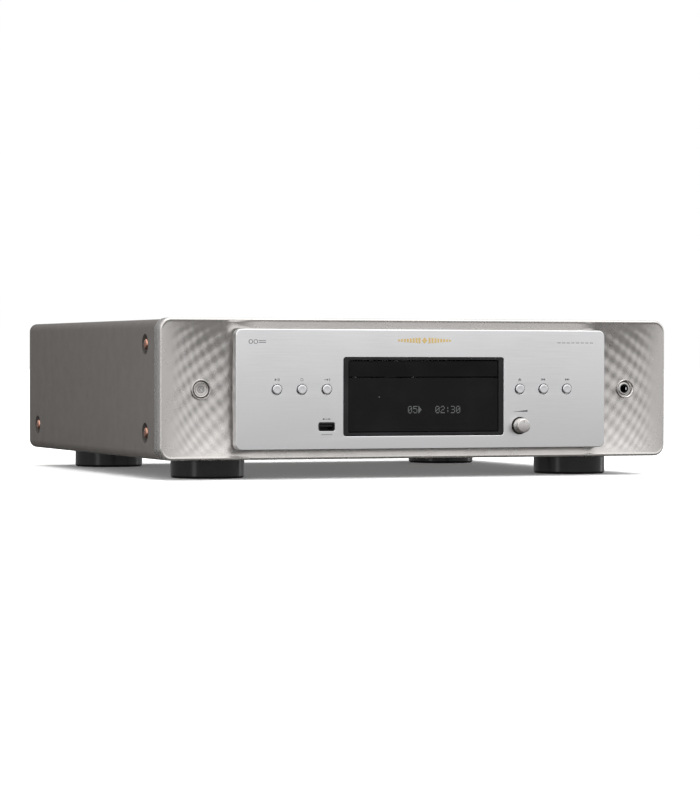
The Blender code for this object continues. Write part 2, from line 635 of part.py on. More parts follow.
def tray_drive():
    """Motor pulley, belt and large pulley, whose pinion turns the gear that drives the tray's rack."""
    y = FRONT + GEAR_DEPTH
    teeth = gear_outline(GEAR_X, y, LOADING_MODULE, LOADING_TEETH, 180 / LOADING_TEETH)
    gear = prism("loading_gear", teeth, "z", GEAR_LOW, GEAR_HIGH, "white_plastic")
    join(gear, prism("hub", circle(GEAR_X, y, 3.0, 16), "z", LOADER_BOTTOM + 2.5 + GAP, GEAR_HIGH - 1))
    cut(gear, hole("z", GEAR_X, y, 1.8, 55, 90, 12))
    y = FRONT + PULLEY_DEPTH
    rims = [(0, 65.0), (PULLEY_R + 1, 65.0), (PULLEY_R + 1, 66.0), (PULLEY_R, 66.3), (PULLEY_R, 68.7)]
    rims += [(PULLEY_R + 1, 69.0), (PULLEY_R + 1, 70.0), (3.4, 70.0), (3.4, GEAR_LOW + 1), (0, GEAR_LOW + 1)]
    pulley = turned("drive_pulley", rims, "z", (GEAR_X, y, 0), "white_plastic", 20)
    teeth = gear_outline(GEAR_X, y, LOADING_MODULE, PULLEY_TEETH, -90)
    join(pulley, prism("pinion", teeth, "z", GEAR_LOW, GEAR_HIGH))
    cut(pulley, hole("z", GEAR_X, y, 1.8, 55, 90, 12))
    small = [(0, 65.0), (4.0, 65.0), (4.0, 66.0), (MOTOR_PULLEY_R, 66.3), (MOTOR_PULLEY_R, 68.7), (4.0, 69.0)]
    small += [(4.0, 70.0), (1.0, 70.0), (1.0, 78.0), (0, 78.0)]
    turned("motor_pulley", small, "z", (MOTOR_X, FRONT + MOTOR_DEPTH, 0), "white_plastic", 14)
    body = [(0, 83.2), (9.0, 83.2), (9.0, 71.5), (1.3, 71.5), (1.3, 79.0), (0, 79.0)]
    turned("loading_motor", body, "z", (MOTOR_X, FRONT + MOTOR_DEPTH, 0), "steel", 20)
    belt()


def belt_outline(extra):
    """The two pulleys' circles, each wider by extra, joined by their common tangents."""
    ax, ay = GEAR_X, FRONT + PULLEY_DEPTH
    bx, by = MOTOR_X, FRONT + MOTOR_DEPTH
    length = math.hypot(bx - ax, by - ay)
    heading = math.atan2(by - ay, bx - ax)
    lean = math.acos((PULLEY_R - MOTOR_PULLEY_R) / length)
    steps = 12
    points = []
    for i in range(steps + 1):
        turn = heading + lean + (2 * math.pi - 2 * lean) * i / steps
        r = PULLEY_R + extra
        points.append((ax + r * math.cos(turn), ay + r * math.sin(turn)))
    for i in range(steps // 2 + 1):
        turn = heading - lean + 2 * lean * i / (steps // 2)
        r = MOTOR_PULLEY_R + extra
        points.append((bx + r * math.cos(turn), by + r * math.sin(turn)))
    return points


def belt():
    loop = prism("drive_belt", belt_outline(1.6), "z", 66.8, 68.2, "rubber")
    cut(loop, prism("inside", belt_outline(0.5), "z", 60, 75))


# ---- boards and supply ----
def capacitor(x, depth, radius, top):
    return prism("capacitor", circle(x, FRONT + depth, radius, 10), "z", 25, top)


def board(name, x0, x1, depth0, depth1):
    """A board on four posts that stand on the chassis floor."""
    made = box(name, x0, x1, depth0, depth1, 25.0, 26.6, "circuit_board")
    for x in (x0 + 6, x1 - 6):
        for depth in (depth0 + 6, depth1 - 6):
            join(made, prism("post", circle(x, FRONT + depth, 3, 6), "z", FLOOR_TOP + GAP, 26))
    return made


def supply():
    core = box("power_transformer", -196, -120, 86, 124, 24, 88, "steel")
    join(core, box("coil", -182, -134, 70, 140, 36, 76))
    join(core, box("foot", -206, -110, 94, 116, FLOOR_TOP + GAP, 24.5))
    power = board("power_board", -206, -98, 205, 388)
    for depth in (240, 270):
        join(power, capacitor(-180, depth, 11, 62), capacitor(-150, depth, 11, 62))
    join(power, box("heatsink", -125, -121, 225, 300, 26, 70))
    join(power, box("relay", -190, -170, 340, 356, 26, 42))


def audio_boards():
    audio = board("audio_board", 98, 206, 70, 388)
    for depth in (150, 178, 206):
        join(audio, capacitor(120, depth, 8, 52), capacitor(144, depth, 8, 52))
    join(audio, box("screen_can", 112, 190, 250, 330, 26, 44))
    digital = board("digital_board", -84, 84, 205, 388)
    join(digital, box("processor", -14, 14, 250, 278, 26, 28.4), box("connector", -50, -10, 215, 221, 26, 36))
    join(digital, box("screen_can", 24, 74, 300, 350, 26, 34))


# ---- rear sockets ----
def phono_socket(name, x, z, finish):
    """A round phono socket: the body passes through the panel, with its nut and barrel outside."""
    end, nut = SOCKET_END, PANEL_REAR + GAP
    profile = [(0, 386), (5.0, 386), (5.0, nut), (6.8, nut), (6.8, nut + 2.2), (4.15, nut + 2.2), (4.15, end)]
    profile += [(1.8, end), (1.8, end - 12), (0, end - 12)]
    return turned(name, profile, "y", (x, FRONT, z), finish, 12)


def rear_sockets():
    analog = phono_socket("analog_outputs", ANALOG_X[0], ANALOG_Z, "gold")
    join(analog, phono_socket("second", ANALOG_X[1], ANALOG_Z, "gold"))
    join(analog, box("block", ANALOG_X[0] - 9, ANALOG_X[1] + 9, 380, 397, ANALOG_Z - 9, ANALOG_Z + 9))
    phono_socket("coaxial_out", COAX_X, DIGITAL_Z, "gold")
    remote = phono_socket("remote_sockets", REMOTE_X - 9, REMOTE_Z, "gold")
    join(remote, phono_socket("second", REMOTE_X + 9, REMOTE_Z, "gold"))
    join(remote, box("block", REMOTE_X - 16, REMOTE_X + 16, 380, 397, REMOTE_Z - 8, REMOTE_Z + 8))
    x, z = OPTICAL_X, DIGITAL_Z
    optical = box("optical_out", x - 6, x + 6, 384, 402.6, z - 6, z + 6, "black_plastic")
    cut(optical, box("mouth", x - 4.8, x + 4.8, 391, 405, z - 4.2, z + 4.2))
    join(optical, prism("ferrule", circle(x, z, 1.3, 10), "y", FRONT + 390, FRONT + 393.5))
    x, z = INLET_X, INLET_Z
    inlet = box("mains_inlet", x - 13.4, x + 13.4, 384, 401.5, z - 9.9, z + 9.9, "black_plastic")
    join(inlet, box("flange", x - 16, x + 16, PANEL_REAR + GAP, 403.0, z - 12.5, z + 12.5))
    cut(inlet, box("mouth", x - 12, x + 12, 388, 406, z - 8.2, z + 8.2))
    for pin_x in (x - 7, x + 7):
        join(inlet, box("pin", pin_x - 1, pin_x + 1, 387, 401, z - 2, z + 2))


# ---- assembly ----
def hang(empty_name, place, pieces):
    """Parents a moving body's pieces to an empty on its joint's axis, without moving them."""
    pivot = bpy.data.objects.new(empty_name, None)
    pivot.location = Vector(place) * MM
    bpy.context.scene.collection.objects.link(pivot)
    bpy.context.view_layer.update()
    for name in pieces:
        piece = bpy.data.objects[name]
        piece.parent = pivot
        piece.matrix_parent_inverse = pivot.matrix_world.inverted()
    return pivot


BUTTONS = {
    "play_button": -BUTTON_X[2],
    "stop_button": -BUTTON_X[1],
    "input_button": -BUTTON_X[0],
    "eject_button": BUTTON_X[0],
    "previous_button": BUTTON_X[1],
    "next_button": BUTTON_X[2],
}


def build():
    for leftover in list(bpy.data.objects):
        bpy.data.objects.remove(leftover)
    front_frame()
    front_plate()
    window_parts()
    top_cover()
    cover_screws()
    bottom_chassis()
    rear_panel()
    feet()
    for name, x in BUTTONS.items():
        push_button(name, x)
    side_controls()
    level_knob()
    control_boards()
    usb_socket()
    loader_frame()
    loader_bracket()
    disc_tray()
    lid = rounded_rectangle(-65.0, 81.8, 65.0, 95.2, 0.8, 2)
    prism("tray_front", lid, "y", FRONT - 7.4, FRONT - 3.3, "black_gloss")
    clamp()
    traverse()
    pickup_drive()
    tray_drive()
    supply()
    audio_boards()
    rear_sockets()

    for name, x in BUTTONS.items():
        hang(f"{name}_axis", (x, FRONT, BUTTON_ROW), [name])
    hang("power_axis", (-SIDE_CONTROL_X, FRONT, BUTTON_ROW), ["power_button"])
    hang("knob_axis", (BUTTON_X[0], FRONT, LOWER_ROW), ["level_knob"])
    hang("tray_axis", (0, FRONT, DISC_FLOOR), ["disc_tray", "tray_front"])
    hang("loading_gear_axis", (GEAR_X, FRONT + GEAR_DEPTH, GEAR_LOW), ["loading_gear"])
    hang("drive_pulley_axis", (GEAR_X, FRONT + PULLEY_DEPTH, GEAR_LOW), ["drive_pulley"])
    hang("motor_pulley_axis", (MOTOR_X, FRONT + MOTOR_DEPTH, GEAR_LOW), ["motor_pulley"])
    hang("clamper_axis", (0, FRONT + SPINDLE, TRAY_TOP), ["clamper"])
    pivot_pieces = ["traverse_plate", "spindle_motor", "guide_rod_left", "guide_rod_right", "sled_motor"]
    traverse_pivot = hang("traverse_axis", (0, FRONT + PIVOT_DEPTH, PIVOT_Z), pivot_pieces)
    inner = [
        hang("spindle_axis", (0, FRONT + SPINDLE, DISC_FLOOR), ["turntable"]),
        hang("sled_axis", (0, FRONT + PICKUP_DEPTH, ROD_Z), ["optical_pickup"]),
        hang("sled_gear_axis", (SLED_GEAR_X, FRONT + SLED_GEAR_DEPTH, ROD_Z), ["sled_gear"]),
    ]
    bpy.context.view_layer.update()
    for empty in inner:
        empty.parent = traverse_pivot
        empty.matrix_parent_inverse = traverse_pivot.matrix_world.inverted()
    bpy.context.view_layer.update()


build()
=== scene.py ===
"""Looks for the disc player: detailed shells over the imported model, its materials, and a plain studio.

Lengths are in millimetres in the shared frame (+X right, the front faces -Y, +Z up), until solid() turns them
into metres. A material's features, the lights and the camera are in metres.
"""

import json
import math

import bmesh
import bpy
from mathutils import Matrix, Vector


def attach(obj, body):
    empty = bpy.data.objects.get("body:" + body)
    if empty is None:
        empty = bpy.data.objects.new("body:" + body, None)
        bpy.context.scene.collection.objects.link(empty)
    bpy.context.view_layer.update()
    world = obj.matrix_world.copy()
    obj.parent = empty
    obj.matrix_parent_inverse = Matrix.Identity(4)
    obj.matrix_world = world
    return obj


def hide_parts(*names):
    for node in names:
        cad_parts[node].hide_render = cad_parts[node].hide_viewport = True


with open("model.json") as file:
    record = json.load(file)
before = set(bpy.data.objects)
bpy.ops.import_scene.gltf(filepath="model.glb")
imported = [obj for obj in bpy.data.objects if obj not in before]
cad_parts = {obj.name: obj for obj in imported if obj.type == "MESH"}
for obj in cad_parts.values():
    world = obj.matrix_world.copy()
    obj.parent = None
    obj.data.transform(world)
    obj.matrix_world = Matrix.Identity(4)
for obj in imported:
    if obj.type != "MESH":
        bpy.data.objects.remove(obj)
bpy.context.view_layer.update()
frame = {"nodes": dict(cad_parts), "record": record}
NODES = frame["nodes"]
MM = 0.001
FRONT = -196.0  # y of the front frame's rim
HALF = 221.0  # half the front frame's width
BOTTOM, TOP = 16.0, 129.0  # the front frame's lower and upper edge
MIDDLE = (BOTTOM + TOP) / 2
PLATE_FACE, PLATE_BACK = FRONT - 8.6, FRONT - 0.4
PLATE_HALF, PLATE_BOTTOM, PLATE_TOP = 160.9, 24.0, 120.15
WINDOW_HALF, WINDOW_BOTTOM, WINDOW_TOP = 70.0, 34.5, 97.8  # the opening in the plate
BUTTON_ROW, LOWER_ROW = 72.1, 42.2
BUTTON_X = (84.3, 105.5, 126.6)
KNOB_X, USB_X = BUTTON_X[0], -BUTTON_X[0]
SIDE_CONTROL_X = 185.9  # the power button on the left, the headphone socket on the right


# ---- materials ----
NOISE_LOW, NOISE_HIGH = 0.3, 0.7  # what a noise texture mostly stays between
EDGE_SPAN = 0.08  # from where an edge starts to look worn to where it is fully worn


class Look:
    """A Principled material with procedural detail, laid out in object space."""

    def __init__(self, name, colour, roughness, metallic=0.0, **sockets):
        self.made = bpy.data.materials.new(name)
        self.made.use_nodes = True
        self.tree = self.made.node_tree
        self.shader = self.tree.nodes["Principled BSDF"]
        self.colour = (*colour, 1)
        self.shader.inputs["Base Color"].default_value = self.colour
        self.shader.inputs["Roughness"].default_value = roughness
        self.shader.inputs["Metallic"].default_value = metallic
        for key, value in sockets.items():
            self.shader.inputs[key.replace("_", " ")].default_value = value
        self.place = self.node("ShaderNodeTexCoord").outputs["Object"]
        self.colour_from = None
        self.height_from = None

    def node(self, kind, **values):
        made = self.tree.nodes.new(kind)
        for key, value in values.items():
            if key in made.inputs:
                made.inputs[key].default_value = value
            else:
                setattr(made, key, value)
        return made

    def link(self, a, b):
        self.tree.links.new(a, b)

    def noise(self, scale, stretch=(1, 1, 1), detail=3.0, rough=0.55):
        """scale is in features per metre, before stretch."""
        mapping = self.node("ShaderNodeMapping")
        mapping.inputs["Scale"].default_value = stretch
        self.link(self.place, mapping.inputs["Vector"])
        made = self.node("ShaderNodeTexNoise", Scale=scale, Detail=detail, Roughness=rough)
        self.link(mapping.outputs["Vector"], made.inputs["Vector"])
        return made.outputs["Fac"]

    def vary_roughness(self, factor, low, high):
        made = self.node("ShaderNodeMapRange")
        made.inputs["To Min"].default_value = low
        made.inputs["To Max"].default_value = high
        made.inputs["From Min"].default_value = NOISE_LOW
        made.inputs["From Max"].default_value = NOISE_HIGH
        self.link(factor, made.inputs["Value"])
        self.link(made.outputs["Result"], self.shader.inputs["Roughness"])
        return self

    def tint(self, factor, colour, low=0.35, high=0.65, strength=1.0):
        """Mixes in another colour where factor is high."""
        ramp = self.node("ShaderNodeMapRange")
        ramp.inputs["From Min"].default_value = low
        ramp.inputs["From Max"].default_value = high
        ramp.inputs["To Max"].default_value = strength
        self.link(factor, ramp.inputs["Value"])
        mix = self.node("ShaderNodeMix", data_type="RGBA")
        self.link(ramp.outputs["Result"], mix.inputs["Factor"])
        first, second = (socket for socket in mix.inputs if socket.type == "RGBA")
        if self.colour_from is None:
            first.default_value = self.colour
        else:
            self.link(self.colour_from, first)
        second.default_value = (*colour, 1)
        self.colour_from = next(socket for socket in mix.outputs if socket.type == "RGBA")
        self.link(self.colour_from, self.shader.inputs["Base Color"])
        return self

    def fade(self, axis, dark_at, full_at, least):
        """Painted shade: the colour falls off evenly along one axis."""
        split = self.node("ShaderNodeSeparateXYZ")
        self.link(self.place, split.inputs["Vector"])
        return self.tint(split.outputs[axis], scaled(self.colour[:3], least), full_at, dark_at)

    def worn_edges(self, colour, strength=0.5, start=0.53):
        """Brightens or darkens the convex edges."""
        edges = self.node("ShaderNodeNewGeometry").outputs["Pointiness"]
        return self.tint(edges, colour, start, start + EDGE_SPAN, strength)

    def bump(self, factor, distance, strength=1.0):
        made = self.node("ShaderNodeBump", Strength=strength, Distance=distance)
        self.link(factor, made.inputs["Height"])
        if self.height_from is not None:
            self.link(self.height_from, made.inputs["Normal"])
        self.height_from = made.outputs["Normal"]
        self.link(self.height_from, self.shader.inputs["Normal"])
        return self


def scaled(colour, factor, lift=0.0):
    return tuple(min(1, part * factor + lift) for part in colour)


def brushed(name, colour, roughness, stretch, fade=None):
    """Metal with a fine grain. The grain runs along the axis where stretch is small. With fade, a painted
    shade darkens it along z.
    """
    look = Look(name, colour, roughness, 1.0)
    grain = look.noise(900, stretch, 4.0, 0.6)
    look.vary_roughness(grain, roughness - 0.05, roughness + 0.07)
    look.tint(grain, scaled(colour, 0.93), 0.35, 0.7)
    look.tint(look.noise(14, detail=2.0), scaled(colour, 1.03), 0.4, 0.7)
    # painted shade along z
    if fade:
        look.fade("Z", *fade)
    return look.bump(grain, 0.00001, 0.35).made


def painted(
    name, colour, roughness, metallic,
    grain=2600, depth=0.00002, wear_from=0.53, shine=0.5, fade=None, fleck=0.9,
):
    """Paint or metallic lacquer, with flecks, broad soft patches and paler edges. With fade, a painted shade
    darkens it along y.
    """
    look = Look(name, colour, roughness, metallic, Specular_IOR_Level=shine)
    texture = look.noise(grain, detail=2.0)
    look.vary_roughness(look.noise(60), roughness - 0.04, roughness + 0.05)
    look.tint(texture, scaled(colour, fleck), 0.35, 0.65)
    look.tint(look.noise(9, detail=2.0), scaled(colour, 1.04), 0.35, 0.75)
    look.worn_edges(scaled(colour, 1.3), 0.35, wear_from)
    # painted shade along y
    if fade:
        look.fade("Y", *fade)
    return look.bump(texture, depth, 0.5).made


def moulded(name, colour, roughness, grain=1800, depth=0.000015, shine=0.5, spread=0.06):
    """Plastic, rubber or ink."""
    look = Look(name, colour, roughness, Specular_IOR_Level=shine)
    texture = look.noise(grain, detail=2.0)
    look.vary_roughness(look.noise(110), roughness - spread, roughness + spread)
    look.tint(look.noise(40), scaled(colour, 1.35, 0.001), 0.45, 0.75)
    look.worn_edges(scaled(colour, 1.5, 0.004), 0.4)
    return look.bump(texture, depth, 0.4).made


BOARD_TOP = 0.0268  # z just over the boards that lie flat
KEY_BOARDS_END = -0.15  # y between the upright key boards and the flat ones
EDGE_BLUR = 0.0003


def board_look():
    """Green board with tracks and solder spots, and dark components on it."""
    look = Look("circuit_board", (0.012, 0.09, 0.035), 0.38)
    tracks = look.node("ShaderNodeTexVoronoi", Scale=420.0, feature="DISTANCE_TO_EDGE")
    look.link(look.place, tracks.inputs["Vector"])
    look.tint(tracks.outputs["Distance"], (0.02, 0.16, 0.06), 0.02, 0.06)
    pads = look.node("ShaderNodeTexVoronoi", Scale=260.0)
    look.link(look.place, pads.inputs["Vector"])
    spots = look.node("ShaderNodeMath", operation="SUBTRACT")
    spots.inputs[0].default_value = 1.0
    look.link(pads.outputs["Distance"], spots.inputs[1])
    look.tint(spots.outputs["Value"], (0.55, 0.53, 0.5), 0.86, 0.9)
    # a component is whatever stands above a flat board
    split = look.node("ShaderNodeSeparateXYZ")
    look.link(look.place, split.inputs["Vector"])
    component = look.node("ShaderNodeMath", operation="MULTIPLY")
    for k, (axis, start) in enumerate((("Z", BOARD_TOP), ("Y", KEY_BOARDS_END))):
        past = look.node("ShaderNodeMapRange")
        past.inputs["From Min"].default_value = start
        past.inputs["From Max"].default_value = start + EDGE_BLUR
        look.link(split.outputs[axis], past.inputs["Value"])
        look.link(past.outputs["Result"], component.inputs[k])
    look.tint(component.outputs["Value"], (0.022, 0.023, 0.027), 0.4, 0.6)
    look.worn_edges((0.16, 0.16, 0.17), 0.5)
    return look.bump(tracks.outputs["Distance"], 0.00004, 0.4).made


def glowing(name, colour, strength):
    """Lit dots."""
    look = Look(name, (0.02, 0.02, 0.02), 0.4)
    look.shader.inputs["Emission Color"].default_value = (*colour, 1)
    look.shader.inputs["Emission Strength"].default_value = strength
    look.tint(look.noise(2500), (0.05, 0.05, 0.05))
    return look.made


PLATE_PAINTED_SHADE = (PLATE_BOTTOM * MM, 0.120, 0.80)  # painted shade, the plate darker towards the bottom: darkest at this z, full at this one, and the least share
COVER_PAINTED_SHADE = (0.2, -0.17, 0.84)  # painted shade, the cover darker towards the rear: the same, along y
LOOKS = {
    "plate": brushed("brushed_plate", (0.90, 0.90, 0.905), 0.34, (0.035, 1, 1), fade=PLATE_PAINTED_SHADE),
    "frame": painted("champagne_frame", (0.485, 0.467, 0.450), 0.25, 0.88, 3200, 0.0000006, 0.7, fleck=0.96),
    "cover": painted(
        "cover_paint", (0.083, 0.0755, 0.070), 0.5, 0.1, depth=0.00001, shine=0.2, fade=COVER_PAINTED_SHADE
    ),
    "turned": brushed("turned_aluminium", (0.80, 0.80, 0.81), 0.26, (1, 0.05, 1)),
    "steel": brushed("zinc_steel", (0.58, 0.59, 0.60), 0.36, (1, 0.08, 1)),
    "chrome": brushed("polished_chrome", (0.85, 0.85, 0.86), 0.09, (1, 1, 1)),
    "gold": brushed("gold_plate", (0.86, 0.64, 0.29), 0.2, (1, 1, 1)),
    "knob": brushed("knob_aluminium", (0.66, 0.64, 0.62), 0.30, (1, 0.05, 1)),
    "satin": brushed("satin_nickel", (0.60, 0.585, 0.57), 0.24, (1, 1, 1)),
    "copper": brushed("copper_screws", (0.55, 0.29, 0.21), 0.24, (1, 1, 1)),
    "black": moulded("black_plastic", (0.008, 0.008, 0.0085), 0.38, shine=0.1),
    "gloss": moulded("black_gloss", (0.0020, 0.0020, 0.0022), 0.16, 500, 0.000004, 0.04),
    "window": moulded("smoked_window", (0.0025, 0.0025, 0.0027), 0.10, 300, 0.000002, 0.04),
    "foot": moulded("foot_resin", (0.005, 0.005, 0.0053), 0.2, 2500, 0.0000005, 0.3, 0.02),
    # painted shade: the pressed seats are darker than the cover paint
    "seat": painted("screw_seat_painted_shade", (0.035, 0.031, 0.028), 0.5, 0.1, shine=0.2),
    "rubber": moulded("rubber", (0.02, 0.02, 0.02), 0.8, 1500, 0.00004),
    "white": moulded("acetal", (0.70, 0.69, 0.64), 0.45),
    "red": moulded("red_ring", (0.45, 0.02, 0.02), 0.4),
    "glass": moulded("display_glass", (0.02, 0.05, 0.05), 0.1, 300, 0.000002),
    "print": moulded("grey_print", (0.045, 0.045, 0.047), 0.5, shine=0.2),
    "pale_print": moulded("pale_print", (0.6, 0.6, 0.6), 0.5),
    "dark": moulded("dark_recess", (0.006, 0.006, 0.006), 0.6),
    "board": board_look(),
    "digits": glowing("display_dots", (0.62, 0.66, 0.66), 0.11),
}

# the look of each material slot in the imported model
SLOT_LOOK = {
    "champagne_resin": "frame",
    "aluminium": "turned",
    "cover_paint": "cover",
    "steel": "steel",
    "cover_screws": "copper",
    "black_plastic": "black",
    "black_gloss": "gloss",
    "smoked_acrylic": "window",
    "chrome": "chrome",
    "gold": "gold",
    "rubber": "rubber",
    "white_plastic": "white",
    "circuit_board": "board",
    "display_glass": "glass",
}
NODE_SLOT = {part["node"]: part["material_slot"] for part in frame["record"]["subparts"]}
for node_name, node in NODES.items():
    finish = LOOKS[SLOT_LOOK[NODE_SLOT[node_name]]]
    node.data.materials.clear()
    node.data.materials.append(finish)


# ---- meshes ----
def smooth(value):
    value = min(1.0, max(0.0, value))
    return value * value * (3 - 2 * value)


def rounded_rectangle(x0, z0, x1, z1, radius, steps=8):
    """An outline in (x, z), anticlockwise from the lower right corner."""
    points = []
    corners = (
        (x1 - radius, z0 + radius, -90),
        (x1 - radius, z1 - radius, 0),
        (x0 + radius, z1 - radius, 90),
        (x0 + radius, z0 + radius, 180),
    )
    for cx, cz, start in corners:
        for i in range(steps + 1):
            angle = math.radians(start + 90 * i / steps)
            points.append((cx + radius * math.cos(angle), cz + radius * math.sin(angle)))
    return points


def around(x, z, half_width, half_height, radius, steps):
    """A rounded rectangle given by its centre."""
    return rounded_rectangle(x - half_width, z - half_height, x + half_width, z + half_height, radius, steps)


def circle(cx, cz, radius, segments=48):
    turns = [2 * math.pi * i / segments for i in range(segments)]
    return [(cx + radius * math.cos(t), cz + radius * math.sin(t)) for t in turns]


def solid(name, mesh, look, sharp=35):
    """A bmesh in millimetres becomes an object in metres, whose origin is the shared frame's."""
    bmesh.ops.scale(mesh, vec=(MM, MM, MM), verts=mesh.verts)
    data = bpy.data.meshes.new(name)
    mesh.to_mesh(data)
    mesh.free()
    data.materials.append(LOOKS[look])
    data.shade_smooth()
    data.set_sharp_from_angle(angle=math.radians(sharp))
    made = bpy.data.objects.new(name, data)
    bpy.context.scene.collection.objects.link(made)
    return made


# turns the z axis to this one
TURN = {
    "x": Matrix.Rotation(math.pi / 2, 3, "Y"),
    "-x": Matrix.Rotation(-math.pi / 2, 3, "Y"),
    "y": Matrix.Rotation(-math.pi / 2, 3, "X"),
    "z": Matrix.Identity(3),
}


def lathe(mesh, profile, centre, axis, segments=64):
    """Adds a surface of revolution. The profile's points are (radius, position along the axis)."""
    turn = TURN[axis]
    rings = []
    for radius, height in profile:
        spots = [(0, 0)] if radius == 0 else circle(0, 0, radius, segments)
        rings.append([mesh.verts.new(turn @ Vector((x, y, height)) + Vector(centre)) for x, y in spots])
    for lower, upper in zip(rings, rings[1:]):
        for i in range(segments):
            j = (i + 1) % segments
            corners = [lower[i % len(lower)], lower[j % len(lower)]]
            corners += [upper[j % len(upper)], upper[i % len(upper)]]
            unique = list(dict.fromkeys(corners))
            if len(unique) > 2:
                mesh.faces.new(unique)
    return mesh


def turned(name, profile, centre, axis, look, segments=64):
    """A lathed piece of its own."""
    mesh = lathe(bmesh.new(), profile, centre, axis, segments)
    bmesh.ops.recalc_face_normals(mesh, faces=mesh.faces)
    return solid(name, mesh, look)


def slab(name, outlines, front, back, look, edge=0.0):
    """Outlines in (x, z), the first one outside and the rest holes, made into a slab with rounded edges."""
    curve = bpy.data.curves.new(name, "CURVE")
    curve.dimensions = "2D"
    curve.fill_mode = "BOTH"
    curve.extrude = (back - front) / 2 - edge
    curve.bevel_depth = edge
    curve.bevel_resolution = 2
    curve.offset = -edge
    for outline in outlines:
        spline = curve.splines.new("POLY")
        spline.points.add(len(outline) - 1)
        for point, (x, z) in zip(spline.points, outline):
            point.co = (x, z, 0, 1)
        spline.use_cyclic_u = True
    shape = bpy.data.objects.new(name + "_outline", curve)
    mesh = bmesh.new()
    bpy.context.scene.collection.objects.link(shape)
    bpy.context.view_layer.update()
    graph = bpy.context.evaluated_depsgraph_get()
    flat = bpy.data.meshes.new_from_object(shape.evaluated_get(graph))
    mesh.from_mesh(flat)
    bpy.data.objects.remove(shape)
    bpy.data.meshes.remove(flat)
    bmesh.ops.remove_doubles(mesh, verts=mesh.verts, dist=0.0005)
    for vert in mesh.verts:
        x, z, deep = vert.co
        vert.co = (x, (front + back) / 2 - deep, z)
    bmesh.ops.recalc_face_normals(mesh, faces=mesh.faces)
    made = solid(name, mesh, look, 40)
    even = made.modifiers.new("flat_faces", "WEIGHTED_NORMAL")
    even.weight = 100
    even.keep_sharp = True
    return made


def printed(name, shapes, y, look, body="housing", thick=0.06):
    """Thin printed shapes on a face that looks to the front, or to the rear where thick is negative."""
    mesh = bmesh.new()
    for outline in shapes:
        front = [mesh.verts.new((x, y - thick, z)) for x, z in outline]
        back = [mesh.verts.new((x, y, z)) for x, z in outline]
        mesh.faces.new(front)
        for i, vert in enumerate(front):
            j = (i + 1) % len(front)
            mesh.faces.new([vert, back[i], back[j], front[j]])
    bmesh.ops.recalc_face_normals(mesh, faces=mesh.faces)
    made = solid(name, mesh, look)
    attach(made, body)


def stands_for(piece, node, body="housing"):
    """The piece takes the place of a node, on the node's body; the node is hidden."""
    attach(piece, body)
    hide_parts(node)
    return piece


# ---- front frame ----
RIM_INSET = 2.6  # how far the rounded rim reaches in from the frame's outline
CORNER = 9.5
# each rim point is (distance out from the inset border, depth behind the rim's highest line)
RIM = [(0.45, 0.22), (0.9, 0.0), (1.35, 0.1), (1.8, 0.4), (2.2, 0.85), (2.5, 1.5), (2.6, 2.2)]
FRAME_BACK = [(2.6, 15.2), (2.2, 15.6), (0.2, 15.6), (0.2, 6.0)]
OPENING_HALF, OPENING_BOTTOM, OPENING_TOP = 146.0, 33.8, 109.5  # covered by the plate
CONTROL_HOLE = 7.6
# the flat bands, which lean back a little below the plate
BAND_DEPTH, BAND_SLOPE, BAND_RISE, BAND_BLEND = 0.3, 0.14, 7.0, 30.0
# the dish starts at this x and is at its deepest one span further in
DISH_EDGE, DISH_SPAN, DISH_DEPTH, DISH_POWER = 219.0, 58.0, 5.3, 0.9
BOWL_MARGIN, BOWL_POWER = 1.5, 2.6
# the step from band to dish: wide outside the plate, narrow and further in behind it
PLATE_MARGIN = 7.0  # from the rim to the plate
STEP_END, STEP_END_SHIFT, STEP_END_BLEND = 163.5, 4.7, 4.0
WIDE_STEP, NARROW_STEP, STEP_BLEND = 24.0, 1.2, 12.0
# the bumps' height, their rings and their slanting rows
BUMP = 0.115
BUMP_CENTRE_R, BUMP_CENTRE_Z, BUMP_PITCH_Z = 170.2, 64.5, 13.2
RING_CENTRE_Z, RING_RATE, RING_GROWTH = 72.0, 0.157, 0.0014
ROW_SLANT, ROW_GROWTH = 0.78, 0.0025
SECOND_WAVE = 0.75
# where the bumps start, and over how far they rise to their full height
OUTER_START, OUTER_FADE = 215.0, 19.0
INNER_START, INNER_FADE = 160.0, 5.0
UPPER_START, UPPER_FADE = 3.5, 9.0
LOWER_START, LOWER_FADE = 3.0, 7.0


def bumps(x, z):
    """Rows of low diamonds. Their rings are centred on the player and close up towards its sides."""
    u = math.hypot(x, z - RING_CENTRE_Z) - BUMP_CENTRE_R
    ring = RING_RATE * u + RING_GROWTH * u * u
    row = (z - BUMP_CENTRE_Z + ROW_SLANT * u + ROW_GROWTH * u * u) / BUMP_PITCH_Z
    return math.cos(2 * math.pi * row) + SECOND_WAVE * math.cos(2 * math.pi * (row - ring))


